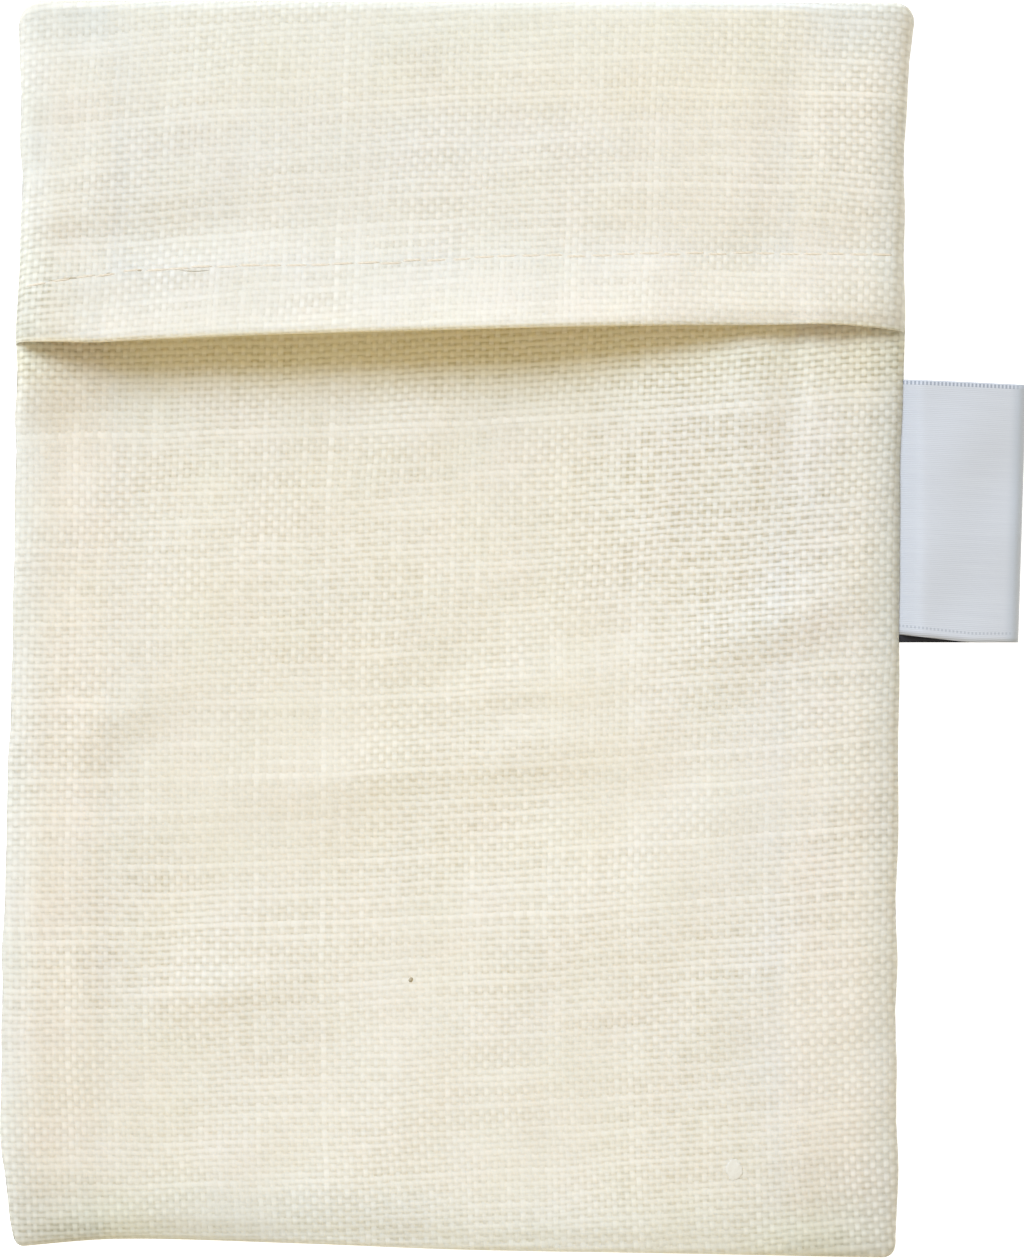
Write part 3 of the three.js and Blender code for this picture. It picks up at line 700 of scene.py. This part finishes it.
turn_by = add(VECTOR, {0: within, 1: (math.pi, math.pi, 0)}, "MULTIPLY")
crests = add(VECTOR, {0: turn_by}, "COSINE")
crest_x, crest_y, _ = add(SPLIT, {0: crests}).node.outputs
climb = add(VECTOR, {0: turn_by}, "SINE")
parity = add(MATH, {0: warp_index, 1: weft_index}, "ADD")
parity = add(MATH, {0: parity, 1: 2.0}, "FLOORED_MODULO")
over = add(MATH, {0: parity, 1: -2.0, 2: 1.0}, "MULTIPLY_ADD")
under = add(MATH, {0: over, 1: -1.0}, "MULTIPLY")
crest = add(JOIN, {0: crest_y, 1: crest_x})
crest = add(VECTOR, {0: crest, 1: add(JOIN, {0: over, 1: under})}, "MULTIPLY")
height = add(VECTOR, {0: flank, 1: (-0.5, -0.5, 0), 2: (1, 1, 0)}, "MULTIPLY_ADD")
height = add(VECTOR, {0: crest, 1: (0.5, 0.5, 0), 2: height}, "MULTIPLY_ADD")
height = add(VECTOR, {0: height, 1: cover}, "MULTIPLY")
warp_height, weft_height, _ = add(SPLIT, {0: height}).node.outputs
top_height = add(MATH, {0: warp_height, 1: weft_height}, "MAXIMUM")
warp_shows = add(MATH, {0: warp_height, 1: weft_height}, "GREATER_THAN")
warp_cover, weft_cover, _ = add(SPLIT, {0: cover}).node.outputs
solid = add(MATH, {0: warp_cover, 1: weft_cover}, "MAXIMUM")
fuzz = add(MIX, {0: opened, 2: FUZZ[0], 3: FUZZ[1]})
solid = add(MIX, {0: solid, 2: fuzz, 3: 1.0})

# The threads' relief: their flanks fall off to both sides, and each tips as it dives under the next.
fall = add(VECTOR, {0: across_thread, 1: (ROUNDING, ROUNDING, 0)}, "MULTIPLY")
fall_x, fall_y, _ = add(SPLIT, {0: fall}).node.outputs
dive = add(VECTOR, {0: climb, 1: add(JOIN, {0: under, 1: over})}, "MULTIPLY")
crimp = add(MIX, {0: opened, 2: WARP_CRIMP[0], 3: WARP_CRIMP[1]})
dive = add(VECTOR, {0: dive, 1: add(JOIN, {0: WEFT_CRIMP, 1: crimp})}, "MULTIPLY")
dive_x, dive_y, _ = add(SPLIT, {0: dive}).node.outputs
tilt_x = add(MIX, {0: warp_shows, 2: dive_x, 3: fall_x})
tilt_y = add(MIX, {0: warp_shows, 2: fall_y, 3: dive_y})
tilt_y = add(MATH, {0: tilt_y, 1: way}, "MULTIPLY")
tilt = add(JOIN, {0: tilt_x, 1: tilt_y})
smooth = add("ShaderNodeNewGeometry").node.outputs["Normal"]
relief = add(VECTOR, {0: smooth, 1: tilt}, "ADD")
relief = add(VECTOR, {0: relief}, "NORMALIZE")

# Tone: each thread has its own, paler in slubs and where it is thick. Crests are paler than hollows, a
# painted shade in the hollows that is deeper where the weave is open; the gaps between rows are painted
# darker in broken lines, as shade; and near the seams the warp's crests get a painted highlight, as nubs.
SHADE_PALER, SLUB_PALER, THICK_PALER = 0.2, 0.22, 0.65
WARP_THICK = (0.2, 0.8)  # the warp's swelling shows less
CREST = 0.9  # height that keeps its tone
HOLLOW_SHADE = (0.14, 0.48)  # where close and where open
NUB_HIGHLIGHT, NUB_GROUND_SHADE = 1.15, -0.18
ROW_GAP_SHADE = (-0.22, -0.72)  # where close and where open
ROW_BREAKS = 0.4  # breaks in each thread passed
ROW_BROKEN = (0.35, 0.7)
DRYNESS = (0.82, 0.94)
RAMP_START, RAMP_REACH = 0.4, 0.6
MOTTLE_RATE = (0.11, 0.11, 3)  # blotches in each thread passed
MOTTLE_LEAST, MOTTLE_BY = (0.98, 1, 0.975), (0.04, 0, 0.05)
LET_THROUGH = 0.36  # share of the light
shade = add(MIX, {0: warp_shows, 2: weft_shade, 3: warp_shade})
slubbed = add(MIX, {0: warp_shows, 2: weft_slub, 3: warp_slub})
warp_thick = add(MIX, {0: warp_swell, 2: WARP_THICK[0], 3: WARP_THICK[1]})
thick = add(MIX, {0: warp_shows, 2: weft_swell, 3: warp_thick})
tone = add(MATH, {0: shade, 1: SHADE_PALER, 2: pale_by}, "MULTIPLY_ADD")
tone = add(MATH, {0: slubbed, 1: SLUB_PALER, 2: tone}, "MULTIPLY_ADD")
tone = add(MATH, {0: thick, 1: THICK_PALER, 2: tone}, "MULTIPLY_ADD")
# Painted shade: below the crests the tone darkens, the more where the weave is open.
depth = add(MIX, {0: opened, 2: HOLLOW_SHADE[0], 3: HOLLOW_SHADE[1]})
raised = add(MATH, {0: top_height, 1: CREST}, "SUBTRACT")
tone = add(MATH, {0: raised, 1: depth, 2: tone}, "MULTIPLY_ADD")
# Painted highlight on the warp's crests as nubs, and painted shade on the ground between them.
warp_crest = add(MATH, {0: over, 1: crest_y}, "MULTIPLY")
warp_crest = add(MATH, {0: warp_crest, 1: crest_x}, "MULTIPLY", use_clamp=True)
nub = add(MATH, {0: warp_crest, 1: NUB_HIGHLIGHT, 2: NUB_GROUND_SHADE}, "MULTIPLY_ADD")
tone = add(MATH, {0: nub, 1: nub_lit, 2: tone}, "MULTIPLY_ADD")
# Painted shade in broken lines along the gaps between rows.
_, from_weft, _ = add(SPLIT, {0: flank}).node.outputs
row_gap = add(MATH, {0: from_weft, 1: 1.0}, "MINIMUM")
broken = add(NOISE, {"W": weft_line, "Scale": ROW_BREAKS, "Detail": 0}, noise_dimensions="1D")
broken = add("ShaderNodeMapRange", {0: broken, 1: ROW_BROKEN[0], 2: ROW_BROKEN[1], 3: 0.0, 4: 1.0})
row_gap_shade = add(MIX, {0: opened, 2: ROW_GAP_SHADE[0], 3: ROW_GAP_SHADE[1]})
row_gap_shade = add(MATH, {0: row_gap_shade, 1: broken}, "MULTIPLY")
tone = add(MATH, {0: row_gap, 1: row_gap_shade, 2: tone}, "MULTIPLY_ADD")
dryness = add(MIX, {0: shade, 2: DRYNESS[0], 3: DRYNESS[1]})
ramp_at = add(MATH, {0: tone, 1: RAMP_REACH, 2: RAMP_START}, "MULTIPLY_ADD")
cream = add("ShaderNodeValToRGB", {0: ramp_at})
cream.node.color_ramp.elements[0].color = linear("#c2c4ba")
cream.node.color_ramp.elements[1].color = linear("#f6faf8")
cream.node.color_ramp.elements.new(RAMP_START).color = linear("#dcdfda")
mottle_at = add(VECTOR, {0: threads, 1: MOTTLE_RATE}, "MULTIPLY")
mottle = add(NOISE, {"Vector": mottle_at, "Scale": 1.0, "Detail": 1}).node.outputs["Color"]
mottle = add(VECTOR, {0: mottle, 1: MOTTLE_BY, 2: MOTTLE_LEAST}, "MULTIPLY_ADD")
mottle = add(VECTOR, {0: mottle, 1: tint}, "ADD")
cream = add(VECTOR, {0: cream, 1: mottle}, "MULTIPLY")
yarn = add("ShaderNodeBsdfPrincipled", {
    "Base Color": cream, "Normal": relief, "Roughness": dryness, "IOR": 1.5, "Specular IOR Level": 0.25,
})
through = add(MIX, {0: thin, 6: linear("#d8c684"), 7: linear("#fade40")}, data_type="RGBA")
glow = add("ShaderNodeBsdfTranslucent", {"Color": through})
body = add("ShaderNodeMixShader", {0: LET_THROUGH, 1: yarn, 2: glow})
hole = add("ShaderNodeBsdfTransparent", {"Color": (1, 1, 1, 1)})
surface = add("ShaderNodeMixShader", {0: solid, 1: hole, 2: body})
add("ShaderNodeOutputMaterial", {"Surface": surface})
linen.use_transparent_shadow = False
cloth.data.materials.append(linen)

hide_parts("bag_cloth")
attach(cloth, "root")

# Hem stitches: one row of lockstitch in fine cream thread along the top of the flap's hem. Each stitch is a
# short thread that bows up a little and dives into the cloth at both ends.
STITCH = 2.5
STITCH_PITCH = 2.6
STITCH_THREAD = 0.13  # half its thickness
STITCHES_FROM, STITCHES_TO = -47.6, 47
STITCH_UNEVEN = 0.15
STITCH_SHIFT = 0.12
RINGS, SIDES = 7, 6
SLIVER_TIP = 0.02  # keeps its ends from closing to a point
SLIVER_FLAT, SLIVER_BOW, SLIVER_SUNK = 0.7, 0.4, 0.1  # shares of its half width


def slivers(name, starts, ends, half, bow, height):
    """Short round slivers lying on the cloth, from their starts to their ends, in one mesh."""
    step = np.linspace(0, 1, RINGS)[None, :, None]
    turn = np.linspace(0, 2 * math.pi, SIDES, endpoint=False)[None, None, :]
    starts, ends = np.array(starts, float), np.array(ends, float)
    reach = ends - starts
    ways = reach / np.hypot(reach[:, 0], reach[:, 1])[:, None]
    swell = np.array(half, float)[:, None, None] * np.sqrt(np.maximum(1 - (2 * step - 1) ** 4, SLIVER_TIP))
    line_x, line_y = (lerp(starts[:, i, None, None], ends[:, i, None, None], step) for i in (0, 1))
    line_y = line_y + np.array(bow, float)[:, None, None] * np.sin(math.pi * step)
    x = line_x - ways[:, 1, None, None] * swell * np.cos(turn)
    y = line_y + ways[:, 0, None, None] * swell * np.cos(turn)
    lie = SLIVER_FLAT * np.sin(turn) + SLIVER_BOW * np.sin(math.pi * step) - SLIVER_SUNK
    z = height(line_x, line_y) - SINK + swell * lie
    count = len(starts)
    points = np.stack(np.broadcast_arrays(x, y, z), axis=-1).reshape(-1, 3) * MM
    ring = np.arange(count * RINGS).reshape(count, RINGS)[:, :-1, None] * SIDES
    side = np.arange(SIDES)
    after = (side + 1) % SIDES
    corners = (ring + side, ring + after, ring + SIDES + after, ring + SIDES + side)
    walls = np.stack(np.broadcast_arrays(*corners), axis=-1).reshape(-1, 4)
    first = np.arange(count)[:, None] * RINGS * SIDES
    caps = np.concatenate((first + side[::-1], first + (RINGS - 1) * SIDES + side))
    mesh = bpy.data.meshes.new(name)
    mesh.from_pydata(points.tolist(), [], walls.tolist() + caps.tolist())
    mesh.shade_smooth()
    piece = bpy.data.objects.new(name, mesh)
    bpy.context.collection.objects.link(piece)
    return piece


draw = np.random.default_rng(21)
begin = np.arange(STITCHES_FROM, STITCHES_TO, STITCH_PITCH)
begin = begin + draw.uniform(-STITCH_UNEVEN, STITCH_UNEVEN, len(begin))
finish = begin + STITCH + draw.uniform(-STITCH_UNEVEN, STITCH_UNEVEN, len(begin))
shift = draw.uniform(-STITCH_SHIFT, STITCH_SHIFT, len(begin))
stitches = slivers(
    "hem_stitches",
    np.stack((begin, read(STITCH_ROW, "height", begin) + shift), axis=-1),
    np.stack((finish, read(STITCH_ROW, "height", finish) + shift), axis=-1),
    np.full(len(begin), STITCH_THREAD), np.zeros(len(begin)), flap_top,
)


def patterned(add, pattern, colours, roughness, strength, depth):
    """Finishes a material whose one pattern gives its colour, its roughness and its relief."""
    colour = add(MIX, {0: pattern, 6: linear(colours[0]), 7: linear(colours[1])}, data_type="RGBA")
    rough = add(MIX, {0: pattern, 2: roughness[0], 3: roughness[1]})
    relief = add("ShaderNodeBump", {"Height": pattern, "Strength": strength, "Distance": depth * MM})
    shader = add("ShaderNodeBsdfPrincipled", {"Base Color": colour, "Normal": relief, "Roughness": rough})
    add("ShaderNodeOutputMaterial", {"Surface": shader})


# Twisted sewing thread: its plies show as slanting bands, and its surface is smoother than the cloth's.
PLY = 0.698  # from band to band; at scale 1 a wave texture puts them a fifth of pi apart
thread, add = blank("cream_sewing_thread")
spot = add("ShaderNodeTexCoord").node.outputs["Object"]
wave = {"Vector": spot, "Scale": math.pi / 5 / (PLY * MM), "Distortion": 2.0}
plies = add("ShaderNodeTexWave", wave, bands_direction="DIAGONAL")
patterned(add, plies, ("#d2c4ac", "#dacdb8"), roughness=(0.5, 0.7), strength=0.4, depth=0.05)
stitches.data.materials.append(thread)
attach(stitches, "root")

# Flecks: bits of brown flax husk that were spun into the yarn, most of them along the hem and one on the
# front. They are flat slivers, held by the threads around them.
HEM_FLECKS = (  # from, to, half width, bow
    ((-45.7, 38.35), (-43.4, 38.65), 0.06, 0.05),
    ((-43.7, 38.7), (-41.3, 38.8), 0.1, 0.06),
    ((-38.8, 39.35), (-38.2, 39.4), 0.09, 0.0),
    ((-35.4, 39.7), (-34.8, 39.7), 0.1, 0.0),
    ((-30.7, 39.75), (-27.3, 39.75), 0.06, -0.14),
    ((-13.1, 40.4), (-12.6, 40.4), 0.09, 0.0),
)
FRONT_FLECKS = (((-5.25, -39.15), (-4.95, -38.65), 0.2, 0.0),)

# Woody husk: dry, dull and brown, with a fine grain.
HUSK_GRAIN = 0.4
husk, add = blank("flax_husk")
spot = add("ShaderNodeTexCoord").node.outputs["Object"]
grain = add(NOISE, {"Vector": spot, "Scale": 1 / (HUSK_GRAIN * MM), "Detail": 3})
patterned(add, grain, ("#94886f", "#bcaf93"), roughness=(0.6, 0.9), strength=0.5, depth=0.05)
for name, flecks, height_under in (
    ("hem_flecks", HEM_FLECKS, flap_top),
    ("front_fleck", FRONT_FLECKS, front_top),
):
    starts, ends, halves, bows = zip(*flecks)
    fleck = slivers(name, starts, ends, halves, bows, height_under)
    fleck.data.materials.append(husk)
    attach(fleck, "root")

# Nub: a knot of loose flax fibre that worked out of the yarn, low on the front near the right seam. It is a
# small flat lump, longer up the bag than across, pressed into the weave.
NUB_AT = (30.8, -60.1)
NUB_HALF = (0.9, 1.15, 0.08)
NUB_LUMPS = ((0.16, 1.3, 22),)
NUB_TUFTS = ((0.08, 0.4, 23),)
bpy.ops.object.select_all(action="DESELECT")
bpy.ops.mesh.primitive_uv_sphere_add(segments=36, ring_count=20, radius=1, location=(0, 0, 0))
nub = bpy.context.object
nub.name = "fibre_nub"
ways = np.empty(len(nub.data.vertices) * 3)
nub.data.vertices.foreach_get("co", ways)
ways = ways.reshape(-1, 3)
way_x, way_y, way_z = ways.T
lumps = 1 + wavy(NUB_LUMPS, way_x + way_z, way_y) + wavy(NUB_TUFTS, way_x, way_y)
points = ways * lumps[:, None] * NUB_HALF
nub_x, nub_y = points[:, 0] + NUB_AT[0], points[:, 1] + NUB_AT[1]
points = np.stack((nub_x, nub_y, points[:, 2] + front_top(nub_x, nub_y) - SINK), axis=-1)
nub.data.vertices.foreach_set("co", (points * MM).ravel())
bpy.ops.object.shade_smooth()

# Matted fibre: no threads show, only a fine, pale felt of even tone.
TUFT = 0.2857
felt, add = blank("matted_flax_fibre")
spot = add("ShaderNodeTexCoord").node.outputs["Object"]
fluff = add(NOISE, {"Vector": spot, "Scale": 1 / (TUFT * MM), "Detail": 4})
patterned(add, fluff, ("#d2cdc0", "#dcd7cb"), roughness=(0.8, 0.95), strength=0.4, depth=0.06)
nub.data.materials.append(felt)
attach(nub, "root")

# Label: a short satin ribbon, pale outside with a dark reverse, folded in two so that its fold points away
# from the bag. Its two ends are caught between the layers of the right side seam, the upper one askew.
LABEL_TOP = 28.0
LABEL_BOTTOM = -1.45
LABEL_TILT = 0.7
LABEL_ASKEW = 1.1
LABEL_ASKEW_REACH = 0.7
LABEL_FOLD_TOP = 63.4
LABEL_FOLD_BOTTOM = 62.5
LABEL_START = 47.6
LABEL_UPPER = 2.2
LABEL_LOWER = 0.35
LABEL_THICK = 0.25
LABEL_ARCH = 0.25  # how far the upper leaf bows up
LABEL_ARCH_FROM, LABEL_ARCH_ACROSS = 50, 13
LABEL_WAVES = ((0.08, 11, 8),)
UNDER_LEAF = 2  # how much further from the fold the lower leaf's pattern counts
LEAF_COLUMNS = 26
FOLD_COLUMNS = 11
LABEL_ROWS = 48
down = np.linspace(0, 1, LABEL_ROWS)[None, :]
turn = np.linspace(0, math.pi, FOLD_COLUMNS + 2)[1:-1, None]
out = np.concatenate((np.linspace(0, 1, LEAF_COLUMNS)[:, None], np.ones((len(turn), 1)),
                      np.linspace(1, 0, LEAF_COLUMNS)[:, None]))
layer = np.concatenate((np.ones((LEAF_COLUMNS, 1)), (1 + np.cos(turn)) / 2, np.zeros((LEAF_COLUMNS, 1))))
bulge = np.concatenate((np.zeros((LEAF_COLUMNS, 1)), np.sin(turn), np.zeros((LEAF_COLUMNS, 1))))
fold_reach = (LABEL_UPPER - LABEL_LOWER) / 2
fold_x = lerp(LABEL_FOLD_TOP, LABEL_FOLD_BOTTOM, down) - fold_reach
label_x = lerp(LABEL_START, fold_x, out) + bulge * fold_reach
top_y = LABEL_TOP - LABEL_TILT * np.where(layer < 0.5, 1, out)
bottom_y = LABEL_BOTTOM + LABEL_ASKEW * layer * np.maximum(0, 1 - out / LABEL_ASKEW_REACH)
label_y = lerp(top_y, bottom_y, down)
arch = LABEL_ARCH * np.sin(math.pi * np.clip((label_x - LABEL_ARCH_FROM) / LABEL_ARCH_ACROSS, 0, 1)) * layer
settle = smoothstep(label_x, low=49, high=52)
label_z = lerp(SEAM_HEIGHT, lerp(LABEL_LOWER, LABEL_UPPER, layer) + arch, settle)
label_z = label_z + wavy(LABEL_WAVES, label_x, label_y) * layer * settle

label = lay("ribbon_label", label_x, label_y, label_z)
from_fold = np.abs(label_x - fold_x - fold_reach) + UNDER_LEAF * (1 - layer)
from_top = LABEL_TOP - LABEL_TILT * out - label_y
carry(label, "ribbon", np.stack((from_fold, from_top, label_y - bottom_y), axis=-1))
bpy.ops.object.shade_smooth()

# Pale satin face: fine ribs along the weave, a dotted selvedge near both edges, and a greyer line of painted
# shade where the ribbon turns back at its fold.
RIB = 0.21
SELVEDGE_PITCH = 0.42
UPPER_SELVEDGE, LOWER_SELVEDGE = (0.35, 0.2), (1.0, 0.14)  # middle and half width, in from the edge
LOWER_SHARE = 0.5  # the lower one shows less
DOTS = 0.75
STREAKS = (0.12, 4.0, 0)  # in each millimetre, along the ribbon's ribs and across them
FOLD_SHADE = (0.2, 1.9)
satin, add = blank("pale_satin_ribbon")
ribbon = add(ATTRIBUTE, attribute_name="ribbon").node.outputs["Vector"]
off_fold, off_top, off_bottom = add(SPLIT, {0: ribbon}).node.outputs
rib_turn = add(MATH, {0: off_top, 1: 2 * math.pi / RIB}, "MULTIPLY")
ribs = add(MATH, {0: rib_turn}, "SINE")
streak_at = add(VECTOR, {0: ribbon, 1: STREAKS}, "MULTIPLY")
streaks = add(NOISE, {"Vector": streak_at, "Scale": 1.0, "Detail": 2})
dashed = add(MATH, {0: off_fold, 1: SELVEDGE_PITCH}, "FLOORED_MODULO")
dashed = add(MATH, {0: dashed, 1: SELVEDGE_PITCH / 2}, "LESS_THAN")
upper = add(MATH, {0: off_top, 1: UPPER_SELVEDGE[0], 2: UPPER_SELVEDGE[1]}, "COMPARE")
lower = add(MATH, {0: off_bottom, 1: LOWER_SELVEDGE[0], 2: LOWER_SELVEDGE[1]}, "COMPARE")
selvedge = add(MATH, {0: lower, 1: LOWER_SHARE, 2: upper}, "MULTIPLY_ADD")
selvedge = add(MATH, {0: selvedge, 1: dashed}, "MULTIPLY")
dots = add(MATH, {0: selvedge, 1: DOTS}, "MULTIPLY")
fades = {0: off_fold, 1: FOLD_SHADE[0], 2: FOLD_SHADE[1], 3: 1.0, 4: 0.0}
# Painted shade where the ribbon turns back at its fold.
fold_shade = add("ShaderNodeMapRange", fades, interpolation_type="SMOOTHSTEP")
pale = add(MIX, {0: streaks, 6: linear("#b8bac0"), 7: linear("#c2c4c8")}, data_type="RGBA")
pale = add(MIX, {0: dots, 6: pale, 7: linear("#7b818c")}, data_type="RGBA")
pale = add(MIX, {0: fold_shade, 6: pale, 7: linear("#abb0b7")}, data_type="RGBA")
sheen = add(MIX, {0: streaks, 2: 0.36, 3: 0.56})
ribbed = add("ShaderNodeBump", {"Height": ribs, "Strength": 0.25, "Distance": 0.04 * MM})
face = add("ShaderNodeBsdfPrincipled", {
    "Base Color": pale, "Normal": ribbed, "Roughness": sheen, "IOR": 1.5, "Specular IOR Level": 0.3,
})
add("ShaderNodeOutputMaterial", {"Surface": face})

# Dark reverse of the ribbon: the loose ends of navy yarn, a duller weave that swallows the light. Its
# near-black is partly painted shade: the shade between the two leaves, where the lower one shows below.
REVERSE_YARNS = (2.0, 10.0, 0)  # in each millimetre, as for the streaks
reverse, add = blank("navy_reverse_and_painted_shade")
ribbon = add(ATTRIBUTE, attribute_name="ribbon").node.outputs["Vector"]
yarn_at = add(VECTOR, {0: ribbon, 1: REVERSE_YARNS}, "MULTIPLY")
yarns = add(NOISE, {"Vector": yarn_at, "Scale": 1.0, "Detail": 2})
patterned(add, yarns, ("#14151d", "#2b2c38"), roughness=(0.65, 0.85), strength=0.4, depth=0.08)

label.data.materials.append(satin)
label.data.materials.append(reverse)
thickness = label.modifiers.new("ribbon", "SOLIDIFY")
thickness.thickness = LABEL_THICK * MM
thickness.offset = 0
thickness.material_offset = 1
bpy.ops.object.modifier_apply(modifier="ribbon")

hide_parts("label")
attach(label, "root")

# Studio: a plain white floor under the bag, one large, soft and slightly cool lamp from the upper left, a
# warm white sky for fill, and a camera straight above the bag.
FLOOR = 3  # in metres
UNDER_BAG = (47, 66)  # half sizes of the floor that the bag hides
GLARE = (0.3, 0.8)  # under the bag, and around it
bpy.ops.object.select_all(action="DESELECT")
bpy.ops.mesh.primitive_plane_add(size=FLOOR, location=(0, 0, 0))
floor = bpy.context.object
floor.name = "studio_floor"

# Plain white paper that glows, a painted light: brightly around the bag, so that it shows as pure white,
# and dimly under the bag, where the glow lights the cloth from below.
paper, add = blank("white_paper")
spot = add("ShaderNodeTexCoord").node.outputs["Object"]
off_middle = add(VECTOR, {0: spot}, "ABSOLUTE")
out_x, out_y, _ = add(SPLIT, {0: off_middle}).node.outputs
beside = add(MATH, {0: out_x, 1: UNDER_BAG[0] * MM}, "GREATER_THAN")
beyond = add(MATH, {0: out_y, 1: UNDER_BAG[1] * MM}, "GREATER_THAN")
lit = add(MATH, {0: beside, 1: beyond}, "MAXIMUM")
glare = add(MIX, {0: lit, 2: GLARE[0], 3: GLARE[1]})
white = add("ShaderNodeBsdfPrincipled", {
    "Base Color": linear("#e2e2e2"), "Roughness": 0.9,
    "Emission Color": (1, 1, 1, 1), "Emission Strength": glare,
})
add("ShaderNodeOutputMaterial", {"Surface": white})
floor.data.materials.append(paper)

scene = bpy.context.scene
scene.view_settings.view_transform = "Standard"
world = bpy.data.worlds.new("white_sky")
world.use_nodes = True
world.node_tree.nodes["Background"].inputs["Color"].default_value = linear("#fff5de")
world.node_tree.nodes["Background"].inputs["Strength"].default_value = 0.73
scene.world = world

KEY_DISTANCE = 2.2
KEY_TURN = math.radians(35)
KEY_ELEVATION = math.radians(47)
bpy.ops.object.light_add(type="AREA")
key = bpy.context.object
key.name = "soft_key"
key.data.shape = "DISK"
key.data.size = 1.1
key.data.energy = 53
key.data.color = linear("#d8e8ff")[:3]
key.location = (
    -KEY_DISTANCE * math.cos(KEY_ELEVATION) * math.sin(KEY_TURN),
    KEY_DISTANCE * math.cos(KEY_ELEVATION) * math.cos(KEY_TURN),
    KEY_DISTANCE * math.sin(KEY_ELEVATION),
)
key.rotation_euler = (-key.location).to_track_quat("-Z", "Y").to_euler()

CAMERA_OVER = (6.14, 0.0)
FRAME_HEIGHT = 140.5
bpy.ops.object.camera_add()
camera = bpy.context.object
camera.data.sensor_fit = "VERTICAL"
camera.data.sensor_height = 36
camera.data.lens = 150
camera.location = (CAMERA_OVER[0] * MM, CAMERA_OVER[1] * MM,
                   (SEAM_HEIGHT + FRAME_HEIGHT * camera.data.lens / camera.data.sensor_height) * MM)
camera.rotation_euler = (0, 0, 0)
scene.camera = camera
